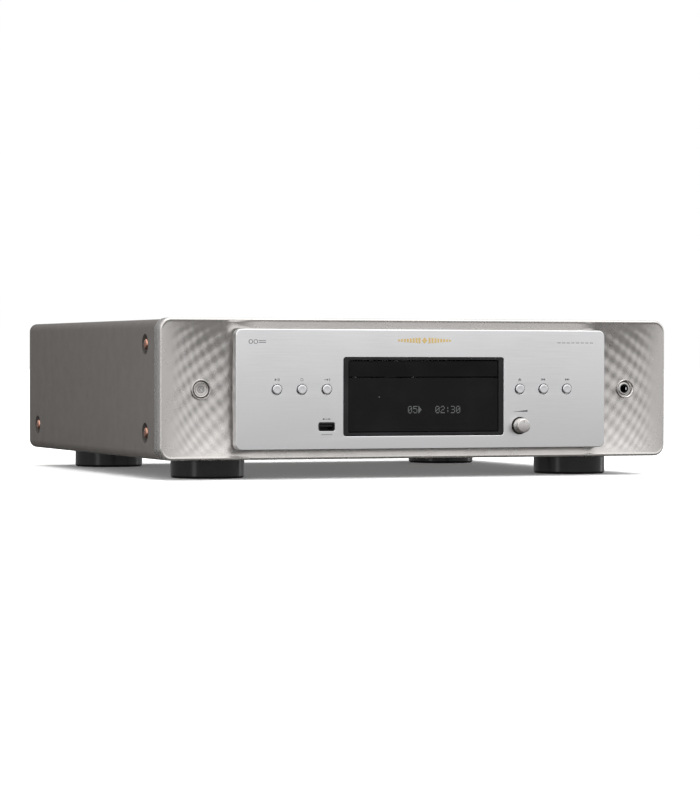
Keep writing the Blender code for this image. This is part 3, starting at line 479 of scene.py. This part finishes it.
def frame_depth(x, z):
    """Depth of the face behind the rim: flat bands above and below the plate, a dished wing at each side."""
    side = abs(x)
    from_top, from_bottom = TOP - z, z - BOTTOM
    across = min(1.0, max(0.0, (DISH_EDGE - side) / DISH_SPAN))
    up = abs(z - MIDDLE) / (TOP - MIDDLE - BOWL_MARGIN)
    bowl = max(0.0, 1 - up ** BOWL_POWER)
    dish = BAND_DEPTH + DISH_DEPTH * (1 - (1 - across) ** 2) ** DISH_POWER * bowl
    fade = smooth((OUTER_START - side) / OUTER_FADE) * smooth((from_top - UPPER_START) / UPPER_FADE)
    fade *= smooth((from_bottom - LOWER_START) / LOWER_FADE) * smooth((side - INNER_START) / INNER_FADE)
    dish -= BUMP * fade * bumps(x, z)
    behind_plate = min(from_top, from_bottom) - PLATE_MARGIN
    step_end = STEP_END - STEP_END_SHIFT * smooth(behind_plate / STEP_END_BLEND)
    step = WIDE_STEP - (WIDE_STEP - NARROW_STEP) * smooth(behind_plate / STEP_BLEND)
    flat = smooth((step_end - side) / step)
    rise = min(BAND_RISE, max(0.0, z - BOTTOM - RIM_INSET))
    band = BAND_DEPTH + BAND_SLOPE * rise * smooth((MIDDLE - z) / BAND_BLEND)
    return dish + (band - dish) * flat


def evenly(start, step, count):
    return [start + step * i for i in range(count)]


def front_frame():
    """A grid over the whole front, whose border carries the rounded rim and the sides."""
    edge = HALF - RIM_INSET
    radius = CORNER - RIM_INSET
    arc = [edge - radius + radius * math.sin(math.pi / 2 * i / 10) for i in range(11)]
    fine_start, fine_step = 156.0, 0.75
    fine = evenly(fine_start, fine_step, int((arc[0] - fine_start) / fine_step))
    coarse = evenly(0.0, 40.0, 4) + evenly(134.0, 2.0, 6) + evenly(OPENING_HALF, 1.5, 6)
    positive = coarse + fine + arc
    columns = [-x for x in reversed(positive[1:])] + positive
    low, high = BOTTOM + RIM_INSET, TOP - RIM_INSET
    rows = 144
    levels = [low + (high - low) * k / rows for k in range(rows + 1)]
    hole_low = min(range(rows + 1), key=lambda k: abs(levels[k] - OPENING_BOTTOM))
    hole_high = min(range(rows + 1), key=lambda k: abs(levels[k] - OPENING_TOP))
    mesh = bmesh.new()
    grid = []
    for x in columns:
        beyond = max(0.0, abs(x) - (edge - radius))
        lost = radius - math.sqrt(max(0.0, radius * radius - beyond * beyond))
        column = []
        for k in range(rows + 1):
            z = low + lost + (high - low - 2 * lost) * k / rows
            column.append(mesh.verts.new((x, FRONT + frame_depth(x, z), z)))
        grid.append(column)
    for i in range(len(columns) - 1):
        inside = max(abs(columns[i]), abs(columns[i + 1])) < OPENING_HALF + 0.1
        for k in range(rows):
            if not (inside and hole_low <= k < hole_high):
                mesh.faces.new([grid[i][k], grid[i + 1][k], grid[i + 1][k + 1], grid[i][k + 1]])
    border = [column[0] for column in grid] + grid[-1][1:-1]
    border += [column[-1] for column in reversed(grid)] + list(reversed(grid[0][1:-1]))
    last = border
    for out, deep in RIM + FRAME_BACK:
        ring = []
        for vert in border:
            x, _, z = vert.co
            corner_x = max(-(edge - radius), min(edge - radius, x))
            corner_z = max(low + radius, min(high - radius, z))
            away = Vector((x - corner_x, 0, z - corner_z))
            away = away.normalized() if away.length > 0.001 else Vector((0, 0, 0))
            ring.append(mesh.verts.new((x + away.x * out, FRONT + deep, z + away.z * out)))
        for i in range(len(ring)):
            j = (i + 1) % len(ring)
            mesh.faces.new([last[i], last[j], ring[j], ring[i]])
        last = ring
    for side in (-1, 1):
        gone = [face for face in mesh.faces if inside_hole(face, side * SIDE_CONTROL_X)]
        bmesh.ops.delete(mesh, geom=gone, context="FACES")
    bmesh.ops.recalc_face_normals(mesh, faces=mesh.faces)
    stands_for(solid("frame_shell", mesh, "frame", 50), "front_frame")


def inside_hole(face, x):
    """Whether a face of the frame's front lies in the hole for the power button or the headphone socket."""
    spot = face.calc_center_median()
    return spot.y < FRONT + 14 and math.hypot(spot.x - x, spot.z - BUTTON_ROW) < CONTROL_HOLE


# ---- front plate, window and print ----
USB_HOLE = (6.9, 3.35)  # half its width and height
KNOB_HOLE = 7.0
KEY_HOLE = 4.35
SIGHT_HALF, SIGHT_BOTTOM, SIGHT_TOP = 65.6, 37.4, 95.8  # the bezel's own opening
DIVIDER_BOTTOM, DIVIDER_TOP = 80.2, 81.5


def front_plate():
    outlines = [rounded_rectangle(-PLATE_HALF, PLATE_BOTTOM, PLATE_HALF, PLATE_TOP, 5.0, 10)]
    outlines.append(rounded_rectangle(-WINDOW_HALF, WINDOW_BOTTOM, WINDOW_HALF, WINDOW_TOP, 2.2, 5))
    for x in BUTTON_X:
        outlines += [circle(-x, BUTTON_ROW, KEY_HOLE), circle(x, BUTTON_ROW, KEY_HOLE)]
    outlines.append(circle(KNOB_X, LOWER_ROW, KNOB_HOLE, 64))
    outlines.append(around(USB_X, LOWER_ROW, *USB_HOLE, 1.6, 5))
    stands_for(slab("plate_face", outlines, PLATE_FACE, PLATE_BACK, "plate", 0.5), "front_plate")


def usb_port():
    """A dark shell with a tongue in it."""
    shell = around(USB_X, LOWER_ROW, 6.75, 3.2, 1.5, 5)
    mouth = around(USB_X, LOWER_ROW, 6.2, 2.6, 0.5, 3)
    stands_for(slab("usb_shell", [shell, mouth], FRONT - 8.7, FRONT + 6.5, "dark", 0.15), "usb_socket")
    back_shape = around(USB_X, LOWER_ROW, 6.4, 2.8, 0.5, 3)
    back = slab("usb_back", [back_shape], FRONT + 4, FRONT + 6, "dark", 0.1)
    tongue_shape = around(USB_X, LOWER_ROW + 1.0, 5.5, 0.9, 0.2, 2)
    tongue = slab("usb_tongue", [tongue_shape], FRONT - 7.2, FRONT + 5, "black", 0.1)
    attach(back, "housing")
    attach(tongue, "housing")


def window():
    """The bezel, the bar across it, the dark pane below the bar and the tray's lid above it."""
    gap = 0.2
    low, high, half = WINDOW_BOTTOM + gap, WINDOW_TOP - gap, WINDOW_HALF - gap
    outer = rounded_rectangle(-half, low, half, high, 2.0, 5)
    inner = rounded_rectangle(-SIGHT_HALF, SIGHT_BOTTOM, SIGHT_HALF, SIGHT_TOP, 0.8, 3)
    bezel = slab("bezel_ring", [outer, inner], FRONT - 8.35, FRONT - 1, "black", 0.25)
    stands_for(bezel, "window_bezel")
    half = SIGHT_HALF + 0.1
    shape = rounded_rectangle(-half, DIVIDER_BOTTOM, half, DIVIDER_TOP, 0.3, 2)
    divider = slab("bezel_divider", [shape], FRONT - 4.2, FRONT - 1, "dark", 0.1)
    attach(divider, "housing")
    half = SIGHT_HALF - 0.4
    shape = rounded_rectangle(-half, SIGHT_BOTTOM + 0.5, half, DIVIDER_BOTTOM + 0.6, 0.8, 3)
    pane = slab("window_pane", [shape], FRONT - 7.5, FRONT - 4.4, "window", 0.35)
    stands_for(pane, "display_window")
    half = SIGHT_HALF - 0.5
    shape = rounded_rectangle(-half, DIVIDER_TOP + 0.6, half, SIGHT_TOP - 0.9, 0.6, 3)
    lid = slab("tray_lid", [shape], FRONT - 7.4, FRONT - 3.3, "gloss", 0.45)
    stands_for(lid, "tray_front", "tray")


GLYPHS = {
    "0": ("01110", "10001", "10011", "10101", "11001", "10001", "01110"),
    "2": ("01110", "10001", "00001", "00110", "01000", "10000", "11111"),
    "3": ("11110", "00001", "00001", "01110", "00001", "00001", "11110"),
    "5": ("11111", "10000", "11110", "00001", "00001", "10001", "01110"),
    ":": ("00000", "00100", "00100", "00000", "00100", "00100", "00000"),
    ">": ("10000", "11000", "11100", "11110", "11100", "11000", "10000"),
}


DOT_STEP_X, DOT_STEP_Z = 0.74, 0.86
DOT_WIDTH, DOT_HEIGHT = 0.56, 0.66
LETTER_STEP = 4.55
LETTERS_TOP = 58.5


def display_dots():
    """Track number and time in a dot matrix, and the small lamp above them."""
    shapes = []
    for start, text in ((-13.9, "05>"), (10.1, "02:30")):
        for place, letter in enumerate(text):
            for row, line in enumerate(GLYPHS[letter]):
                for column, dot in enumerate(line):
                    if dot == "1":
                        x = start + LETTER_STEP * place + DOT_STEP_X * column
                        z = LETTERS_TOP - DOT_STEP_Z * row
                        right, low = x + DOT_WIDTH, z - DOT_HEIGHT
                        shapes.append([(x, low), (right, low), (right, z), (x, z)])
    shapes.append(circle(-38.9, 65.9, 0.45, 12))
    printed("display_dots", shapes, FRONT - 7.5, "digits", thick=0.03)


def triangle(x, z, width, height):
    return [(x, z - height / 2), (x + width, z), (x, z + height / 2)]


def bar(x, z, width, height):
    left, right, low, high = x - width / 2, x + width / 2, z - height / 2, z + height / 2
    return [(left, low), (right, low), (right, high), (left, high)]


def arc_strip(cx, cz, radius, width, start, stop, steps=20):
    """Short quads along an arc, in degrees."""
    shapes = []
    for i in range(steps):
        a, b = (math.radians(start + (stop - start) * (i + k) / steps) for k in (0, 1))
        shapes.append([
            (cx + r * math.cos(t), cz + r * math.sin(t))
            for r, t in ((radius, a), (radius, b), (radius + width, b), (radius + width, a))
        ])
    return shapes


ICON_ROW = 79.9
MARK_ROW = 111.5  # the gold mark
SIDE_MARK_ROW = 110.2  # the marks near the plate's upper corners
USB_MARK_ROW = 48.4


def key_icons():
    """Plain symbols over the keys: play and pause, stop, source, eject, back and forward."""
    z = ICON_ROW
    play, stop, source = (-x for x in reversed(BUTTON_X))
    eject, back, forward = BUTTON_X
    shapes = [triangle(play - 1.9, z, 1.9, 2.1), bar(play + 0.9, z, 0.5, 2.1), bar(play + 1.9, z, 0.5, 2.1)]
    shapes += [bar(stop, z + way * 0.9, 2.1, 0.32) for way in (-1, 1)]
    shapes += [bar(stop + way * 0.9, z, 0.32, 1.5) for way in (-1, 1)]
    shapes += [bar(source - 1.0, z, 2.6, 0.4), triangle(source + 0.1, z, 1.5, 1.8)]
    shapes += [bar(source + 2.4, z, 0.4, 2.3)]
    shapes += [[(eject - 1.4, z - 0.3), (eject + 1.4, z - 0.3), (eject, z + 1.2)]]
    shapes += [bar(eject, z - 0.95, 2.8, 0.5)]
    for x, way in ((back, -1), (forward, 1)):
        for step in (-1.5, 0.1):
            shapes.append(triangle(x + way * step, z, way * 1.6, 2.0))
        shapes.append(bar(x + way * 1.9, z, 0.4, 2.0))
    return shapes


def icons():
    """The key symbols, and neutral marks where the real plate carries words."""
    shapes = key_icons()
    shapes += [[(KNOB_X - 7, 53.4), (KNOB_X + 7, 53.4), (KNOB_X + 7, 55.0)]]
    z = USB_MARK_ROW
    shapes += [bar(USB_X - 0.4, z, 4.2, 0.45), triangle(USB_X + 1.6, z, 1.7, 1.5)]
    shapes += [bar(USB_X - 2.8, z, 1.2, 1.2)]
    shapes += [bar(USB_X + k * 1.9, 36.0, 1.3, 0.5) for k in (-2, -1, 0, 1, 2)]
    shapes += [bar(119.5 + 4.2 * k, SIDE_MARK_ROW - 0.2, 3.0, 0.45) for k in range(8)]
    for x in (-148.6, -144.4):
        shapes += arc_strip(x, SIDE_MARK_ROW, 1.3, 0.5, 0, 360, 24)
    shapes += [bar(-138.9, SIDE_MARK_ROW + way * 0.7, 6.0, 0.5) for way in (1, -1)]
    printed("plate_print", shapes, PLATE_FACE, "print")
    gold = [[(-2.4, MARK_ROW), (0, MARK_ROW - 2.6), (2.4, MARK_ROW), (0, MARK_ROW + 2.6)]]
    for k in range(8):
        gold += [bar(way * (4.4 + 2.55 * k), MARK_ROW, 1.75, 4.6 - 0.42 * k) for way in (-1, 1)]
    printed("gold_mark", gold, PLATE_FACE, "gold", thick=0.12)


# ---- controls: each profile point is (radius, y behind the frame's rim) ----
KEY_CAP = [(0, -9.84), (2.4, -9.87), (3.3, -9.9), (3.55, -9.84), (3.68, -9.7), (3.72, -9.45), (3.72, -4.2)]
KEY_CAP += [(5.4, -4.2), (5.4, -3.2), (1.6, -3.2), (1.6, 1.0), (0, 1.0)]
KNOB_TIP = -17.6
KNOB_GRIP = [(0, -17.5), (4.9, -17.6), (5.25, -17.52), (5.55, -17.25), (5.65, -16.9), (5.65, -15.5)]
KNOB_GRIP += [(5.4, -15.35), (5.4, -15.05), (5.8, -14.9), (6.0, -14.4), (6.0, -5.6)]
KNOB_GRIP += [(2.9, -5.4), (2.9, 3.0), (0, 3.0)]
KNOB_COLLAR = [(7.05, -7.6), (6.5, -7.4), (6.5, -5.0), (7.05, -5.0)]
POWER_RING = [(6.75, 11.0), (6.75, 4.0), (6.95, 3.1), (7.4, 2.6), (7.9, 2.6), (8.3, 3.1), (8.35, 4.0)]
POWER_RING += [(8.35, 9.0), (9.6, 9.0), (9.6, 11.0), (6.75, 11.0)]
POWER_CAP = [(0, 4.3), (2.5, 4.25), (4.6, 4.0), (4.75, 4.5), (5.05, 4.5), (5.2, 3.95), (5.8, 3.7)]
POWER_CAP += [(6.15, 3.85), (6.35, 4.4), (6.4, 11.6), (8.3, 11.6), (8.3, 12.6), (2.0, 12.6)]
POWER_CAP += [(2.0, 15.0), (0, 15.0)]
JACK_NUT = [(3.5, 34.0), (3.5, 6.0), (3.75, 5.4), (4.6, 5.3), (5.3, 5.6), (6.3, 4.0), (6.8, 3.2), (7.2, 3.0)]
JACK_NUT += [(7.6, 3.3), (7.8, 3.9), (8.0, 9.0), (9.6, 9.0), (9.6, 11.0), (6.0, 11.0), (6.0, 36.0)]
JACK_NUT += [(0, 36.0), (0, 34.0), (3.5, 34.0)]
JACK_WELL = [(3.45, 6.0), (3.45, 33.8), (0, 33.8)]


def keys():
    words = ("play", "stop", "input", "eject", "previous", "next")
    places = [-x for x in reversed(BUTTON_X)] + list(BUTTON_X)
    for word, x in zip(words, places):
        cap = turned(f"{word}_cap", KEY_CAP, (x, FRONT, BUTTON_ROW), "y", "turned", 48)
        stands_for(cap, f"{word}_button", f"{word}_button_body")


def knob():
    centre = (KNOB_X, FRONT, LOWER_ROW)
    grip = turned("knob_grip", KNOB_GRIP, centre, "y", "knob")
    stands_for(grip, "level_knob", "knob")
    mark = bar(KNOB_X, LOWER_ROW + 3.6, 0.45, 2.2)
    printed("knob_mark", [mark], FRONT + KNOB_TIP + 0.05, "print", "knob", 0.05)
    sleeve = turned("knob_collar", KNOB_COLLAR, centre, "y", "dark")
    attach(sleeve, "housing")


def power_button():
    x, z = -SIDE_CONTROL_X, BUTTON_ROW
    centre = (x, FRONT, z)
    stands_for(turned("power_ring", POWER_RING, centre, "y", "satin"), "power_bezel")
    stands_for(turned("power_cap", POWER_CAP, centre, "y", "frame"), "power_button", "power_button_body")
    symbol = arc_strip(x, z, 1.05, 0.5, 130, 410, 20) + [bar(x, z + 1.3, 0.5, 1.3)]
    symbol += arc_strip(x, z, 2.35, 0.5, 0, 360, 32)
    printed("power_symbol", symbol, FRONT + 4.2, "print", "power_button_body")


def headphone_jack():
    centre = (SIDE_CONTROL_X, FRONT, BUTTON_ROW)
    jack = turned("jack_nut", JACK_NUT, centre, "y", "satin")
    stands_for(jack, "headphone_jack")
    well = turned("jack_well", JACK_WELL, centre, "y", "dark")
    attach(well, "housing")
    contact = around(SIDE_CONTROL_X + 2.6, BUTTON_ROW, 0.6, 1.2, 0.3, 2)
    spring = slab("jack_contact", [contact], FRONT + 7, FRONT + 16, "chrome", 0.1)
    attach(spring, "housing")


# ---- cover, screws and feet ----
# (depth behind the frame's rim, z) of the screws in each side
SCREWS = {"upper_front": (43.0, 108.1), "lower_front": (43.0, 37.2), "lower_rear": (372.7, 37.2)}
COVER_HALF, COVER_BOTTOM, COVER_TOP, COVER_CORNER = 220.2, 16.1, 127.9, 7.0
COVER_FRONT, COVER_REAR = FRONT + 16.0, FRONT + 400.7
SHEET = 1.5
FLANGE_END = 208.0
CHAMFER, CHAMFER_INSET = 0.4, 0.35
SEAT_RADIUS = 8.3
# each point is (radius, height over the cover's side)
SEAT = [(SEAT_RADIUS, -0.6), (SEAT_RADIUS, 0.0), (8.1, -0.06), (7.8, -0.4), (7.2, -2.0), (6.8, -2.9)]
SEAT += [(6.1, -3.3), (2.3, -3.3), (2.3, -3.8)]
OUTWARDS = {-1: "-x", 1: "x"}


def folded_sheet():
    """The sheet's loops run from the right flange round the top to the left flange."""
    outer = rounded_rectangle(-COVER_HALF, COVER_BOTTOM, COVER_HALF, COVER_TOP, COVER_CORNER, 12)
    half, low, high = COVER_HALF - SHEET, COVER_BOTTOM + SHEET, COVER_TOP - SHEET
    inner = rounded_rectangle(-half, low, half, high, COVER_CORNER - SHEET, 12)
    path_out = [(FLANGE_END, COVER_BOTTOM)] + outer + [(-FLANGE_END, COVER_BOTTOM)]
    path_in = [(FLANGE_END, low)] + inner + [(-FLANGE_END, low)]
    mesh = bmesh.new()
    rings = []
    places = ((COVER_FRONT, CHAMFER_INSET), (COVER_FRONT + CHAMFER, 0))
    places += ((COVER_REAR - CHAMFER, 0), (COVER_REAR, CHAMFER_INSET))
    for y, shrink in places:
        ring = []
        for (ox, oz), (ix, iz) in zip(path_out, path_in):
            share = shrink / SHEET
            ring.append(mesh.verts.new((ox + (ix - ox) * share, y, oz + (iz - oz) * share)))
        rings.append(ring)
    front, rear = ([mesh.verts.new((x, y, z)) for x, z in path_in] for y in (COVER_FRONT, COVER_REAR))
    last = len(path_out) - 1
    for a, b in zip(rings, rings[1:]):
        for i in range(last):
            mesh.faces.new([a[i], a[i + 1], b[i + 1], b[i]])
    for i in range(last):
        mesh.faces.new([front[i], rear[i], rear[i + 1], front[i + 1]])
        mesh.faces.new([rings[0][i], front[i], front[i + 1], rings[0][i + 1]])
        mesh.faces.new([rings[-1][i], rings[-1][i + 1], rear[i + 1], rear[i]])
    for i in (0, last):
        mesh.faces.new([ring[i] for ring in rings] + [rear[i], front[i]])
    bmesh.ops.recalc_face_normals(mesh, faces=mesh.faces)
    return solid("cover_shell", mesh, "cover", 30)


def top_cover():
    """Folded sheet with round seats pressed into its sides."""
    cover = folded_sheet()
    places = [
        (side, (side * COVER_HALF, FRONT + depth, z))
        for side in OUTWARDS
        for depth, z in SCREWS.values()
    ]
    cutter = [(0, -6), (SEAT_RADIUS, -6), (SEAT_RADIUS, 6), (0, 6)]
    for side, centre in places:
        plug = turned("seat_cutter", cutter, centre, OUTWARDS[side], "cover", 48)
        cut = cover.modifiers.new("seat", "BOOLEAN")
        cut.operation = "DIFFERENCE"
        cut.solver = "EXACT"
        cut.object = plug
        bpy.context.view_layer.update()
        graph = bpy.context.evaluated_depsgraph_get()
        baked = bpy.data.meshes.new_from_object(cover.evaluated_get(graph))
        cover.modifiers.clear()
        cover.data = baked
        bpy.data.objects.remove(plug)
    cover.data.set_sharp_from_angle(angle=math.radians(30))
    stands_for(cover, "top_cover")
    # the seats carry the seat look, a painted shade darker than the cover
    cups = bmesh.new()
    for side, centre in places:
        lathe(cups, SEAT, centre, OUTWARDS[side], 48)
    cups = solid("screw_seats", cups, "seat", 50)
    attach(cups, "housing")


HEAD_FACE, HEAD_INNER = 1.0, 1.75  # height and radius of the flat middle of a screw's head
HEAD = [(HEAD_INNER, HEAD_FACE), (2.9, 0.85), (3.6, 0.45), (3.95, 0.0), (4.0, -0.6), (4.0, -1.1)]
HEAD += [(1.6, -1.1), (1.6, -2.6), (0, -2.6)]
HEAD_SIDES = 40
CROSS_REACH, CROSS_HALF, CROSS_FLOOR, CROSS_TAPER = 1.3, 0.36, -0.3, 0.8


def cross_screw(name, seat, axis, look, size=1.0):
    """A pan head with a cross recess. Its face looks along the axis, 1 mm times size over the seat."""
    mesh = bmesh.new()
    lathe(mesh, HEAD, (0, 0, 0), "z", HEAD_SIDES)
    arm = ((CROSS_REACH, -CROSS_HALF), (CROSS_REACH, CROSS_HALF), (CROSS_HALF, CROSS_HALF))
    corners = []
    for k in range(4):
        quarter = Matrix.Rotation(math.pi / 2 * k, 3, "Z")
        corners += [quarter @ Vector((across, up, HEAD_FACE)) for across, up in arm]
    edge = [mesh.verts.new(corner) for corner in corners]
    floor = [mesh.verts.new((x * CROSS_TAPER, y * CROSS_TAPER, CROSS_FLOOR)) for x, y, _ in corners]
    rim = [mesh.verts.new((x, y, HEAD_FACE)) for x, y in circle(0, 0, HEAD_INNER, HEAD_SIDES)]
    mesh.faces.new(floor)
    for i, corner in enumerate(corners):
        j = (i + 1) % len(corners)
        mesh.faces.new([edge[i], edge[j], floor[j], floor[i]])
        first = round(math.atan2(corner.y, corner.x) / math.tau * HEAD_SIDES)
        last = round(math.atan2(corners[j].y, corners[j].x) / math.tau * HEAD_SIDES)
        while last <= first:
            last += HEAD_SIDES
        between = [rim[k % HEAD_SIDES] for k in range(first, last + 1)]
        mesh.faces.new([edge[i]] + between + [edge[j]])
    bmesh.ops.remove_doubles(mesh, verts=mesh.verts, dist=0.001)
    bmesh.ops.recalc_face_normals(mesh, faces=mesh.faces)
    place = Matrix.Translation(seat) @ TURN[axis].to_4x4() @ Matrix.Scale(size, 4)
    bmesh.ops.transform(mesh, matrix=place, verts=mesh.verts)
    return solid(name, mesh, look, 35)


def cover_screws():
    for word, (depth, z) in SCREWS.items():
        for side, hand in ((-1, "left"), (1, "right")):
            seat = (side * (COVER_HALF - 0.9), FRONT + depth, z)
            screw = cross_screw(f"screw_{word}_{hand}", seat, OUTWARDS[side], "copper", 1.12)
            stands_for(screw, f"cover_screw_{word}_{hand}")


# each point is (radius, z)
FOOT = [(0, 0.8), (24.0, 0.8), (24.6, 0.0), (28.2, 0.0), (29.0, 0.25), (29.7, 1.0), (30.0, 1.9), (30.0, 2.1)]
FOOT += [(30.0, 14.4), (30.0, 14.6), (29.7, 15.2), (29.2, 15.5), (28.4, 15.6), (28.4, 18.3), (0, 18.3)]
FOOT_X, FOOT_DEPTH = 161.5, {"front": 61.7, "rear": 345.7}


def feet():
    for x, hand in ((-FOOT_X, "left"), (FOOT_X, "right")):
        for word, depth in FOOT_DEPTH.items():
            foot = turned(f"foot_{word}_{hand}_body", FOOT, (x, FRONT + depth, 0), "z", "foot", 96)
            stands_for(foot, f"foot_{word}_{hand}")


# ---- rear panel ----
REAR_FACE = FRONT + 400.5
SOCKET_GROUPS = ((112, 170), (34, 88), (-29, 9), (-190, -140))  # from x to x
SOCKET_X = (126, 156, 74, 44, -1, -19, -165)
SOCKET_RING = [(5.0, 0), (6.3, 0), (6.3, 1.0), (6.0, 1.3), (5.0, 1.3)]


def outline(x0, z0, x1, z1, width=0.5):
    """A thin frame made of four bars."""
    middle_x, middle_z = (x0 + x1) / 2, (z0 + z1) / 2
    sides = [bar(x, middle_z, width, z1 - z0) for x in (x0, x1)]
    return sides + [bar(middle_x, z, x1 - x0 + width, width) for z in (z0, z1)]


def rear_details():
    """Frames round the groups of sockets, plain marks in place of words, screws and coloured rings."""
    shapes = []
    for x0, x1 in SOCKET_GROUPS:
        shapes += outline(x0, 42, x1, 84)
    for x in SOCKET_X:
        shapes += [bar(x + 2.2 * k, 79.5, 1.5, 0.7) for k in (-1, 0, 1)]
    printed("rear_print", shapes, REAR_FACE, "pale_print", thick=-0.06)
    for x in (-203, -100, 20, 100, 203):
        for z in (30, 112):
            screw = cross_screw(f"rear_screw_{x + 300}_{z}", (x, REAR_FACE, z), "y", "steel", 0.72)
            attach(screw, "housing")
    for x, colour in ((126, "white"), (156, "red"), (74, "black")):
        ring = turned(f"socket_ring_{x}", SOCKET_RING, (x, REAR_FACE, 62), "y", colour)
        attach(ring, "housing")


rear_details()
front_frame()
front_plate()
usb_port()
window()
display_dots()
icons()
keys()
knob()
power_button()
headphone_jack()
top_cover()
cover_screws()
feet()


# ---- studio ----
def card(name, centre, towards, width, height, strength, colour=(1, 1, 1)):
    """A soft box. Lengths are in metres."""
    light = bpy.data.lights.new(name, "AREA")
    light.shape = "RECTANGLE"
    light.size, light.size_y = width, height
    light.energy = strength
    light.color = colour
    made = bpy.data.objects.new(name, light)
    made.location = centre
    made.rotation_euler = (Vector(towards) - Vector(centre)).to_track_quat("-Z", "Y").to_euler()
    made.visible_camera = False
    bpy.context.scene.collection.objects.link(made)
    return made


# (share of the way from straight down to straight up, grey)
LOWEST_STOP, HIGHEST_STOP = (0.38, (0.09, 0.085, 0.08, 1)), (0.70, (1.5, 1.5, 1.5, 1))
HORIZON_STOPS = ((0.5, 0.73), (0.6, 0.96))
STRENGTH_BEFORE, STRENGTH_BEHIND = 1.08, 0.42


def surroundings():
    """A world that is darker below the horizon and behind the player."""
    world = bpy.data.worlds.new("studio")
    bpy.context.scene.world = world
    world.use_nodes = True
    tree = world.node_tree
    background = tree.nodes["Background"]
    place = tree.nodes.new("ShaderNodeTexCoord")
    split = tree.nodes.new("ShaderNodeSeparateXYZ")
    tree.links.new(place.outputs["Generated"], split.inputs["Vector"])
    lift = tree.nodes.new("ShaderNodeMapRange")
    lift.inputs["From Min"].default_value = -1
    tree.links.new(split.outputs["Z"], lift.inputs["Value"])
    ramp = tree.nodes.new("ShaderNodeValToRGB")
    tree.links.new(lift.outputs["Result"], ramp.inputs["Fac"])
    stops = ramp.color_ramp.elements
    stops[0].position, stops[0].color = LOWEST_STOP
    stops[1].position, stops[1].color = HIGHEST_STOP
    for position, grey in HORIZON_STOPS:
        stops.new(position).color = (grey, grey, grey * 1.01, 1)
    tree.links.new(ramp.outputs["Color"], background.inputs["Color"])
    behind = tree.nodes.new("ShaderNodeMapRange")
    behind.inputs["To Min"].default_value = STRENGTH_BEFORE
    behind.inputs["To Max"].default_value = STRENGTH_BEHIND
    tree.links.new(split.outputs["Y"], behind.inputs["Value"])
    tree.links.new(behind.outputs["Result"], background.inputs["Strength"])


def glow(look, strength):
    look.shader.inputs["Emission Color"].default_value = (1, 1, 1, 1)
    look.shader.inputs["Emission Strength"].default_value = strength


def floor_and_backdrop():
    """A pale floor, and a white dome that only the camera sees."""
    white = Look("pale_floor", (0.96, 0.96, 0.96), 0.9)
    white.tint(white.noise(2.0), (0.95, 0.95, 0.95))
    glow(white, 0.05)
    bpy.ops.mesh.primitive_plane_add(size=60)
    floor = bpy.context.object
    floor.name = "floor"
    floor.data.materials.append(white.made)
    floor.visible_glossy = False

    bpy.ops.mesh.primitive_uv_sphere_add(radius=28, segments=32, ring_count=16)
    dome = bpy.context.object
    dome.name = "backdrop"
    backdrop = Look("backdrop_white", (0, 0, 0), 1.0)
    glow(backdrop, 1.0)
    dome.data.materials.append(backdrop.made)
    for ray in ("diffuse", "glossy", "transmission", "shadow", "volume_scatter"):
        setattr(dome, "visible_" + ray, False)


def lights():
    card("overhead", (0.1, 0.1, 1.9), (0, 0, 0.1), 2.4, 2.0, 26)
    for made in (
        card("key_right", (2.2, -2.4, 1.5), (0, 0, 0.08), 1.6, 1.6, 22),
        card("fill_left", (-1.7, -1.5, 0.5), (-0.2, -0.1, 0.08), 0.9, 0.9, 6),
        card("fill_low", (-0.5, -2.6, 0.35), (0, -0.1, 0.03), 2.0, 0.5, 12),
        card("front_top", (0.5, -2.4, 1.7), (0, 0, 0.05), 1.2, 1.2, 26),
    ):
        made.visible_glossy = False
    card("strip_left", (-2.5, -1.5, 0.5), (0, 0, 0.05), 0.6, 2.2, 7)
    card("strip_right", (2.6, 0.6, 0.5), (0, 0, 0.05), 0.15, 2.2, 4)
    card("under_fill", (0, 0, 0.0155), (0, 0, 0), 0.38, 0.38, 0.03)


CAMERA_PLACE = (-0.93144, -2.28413 + FRONT * MM, 0.09542)
CAMERA_FORWARD = (0.35600, 0.93439, -0.01306)
CAMERA_ROLL = math.radians(0.081)
SENSOR_WIDTH, LENS = 36, 136.71


def add_camera():
    data = bpy.data.cameras.new("camera")
    data.sensor_width = SENSOR_WIDTH
    data.lens = LENS
    data.clip_end = 100
    camera = bpy.data.objects.new("camera", data)
    forward = Vector(CAMERA_FORWARD).normalized()
    right = forward.cross(Vector((0, 0, 1))).normalized()
    up = right.cross(forward)
    right = right * math.cos(CAMERA_ROLL) + up * math.sin(CAMERA_ROLL)
    up = right.cross(forward)
    rotation = Matrix((right, up, -forward)).transposed()
    camera.matrix_world = Matrix.Translation(CAMERA_PLACE) @ rotation.to_4x4()
    bpy.context.scene.collection.objects.link(camera)
    bpy.context.scene.camera = camera


bpy.context.scene.view_settings.view_transform = "Standard"
surroundings()
floor_and_backdrop()
lights()
add_camera()

bpy.context.view_layer.update()
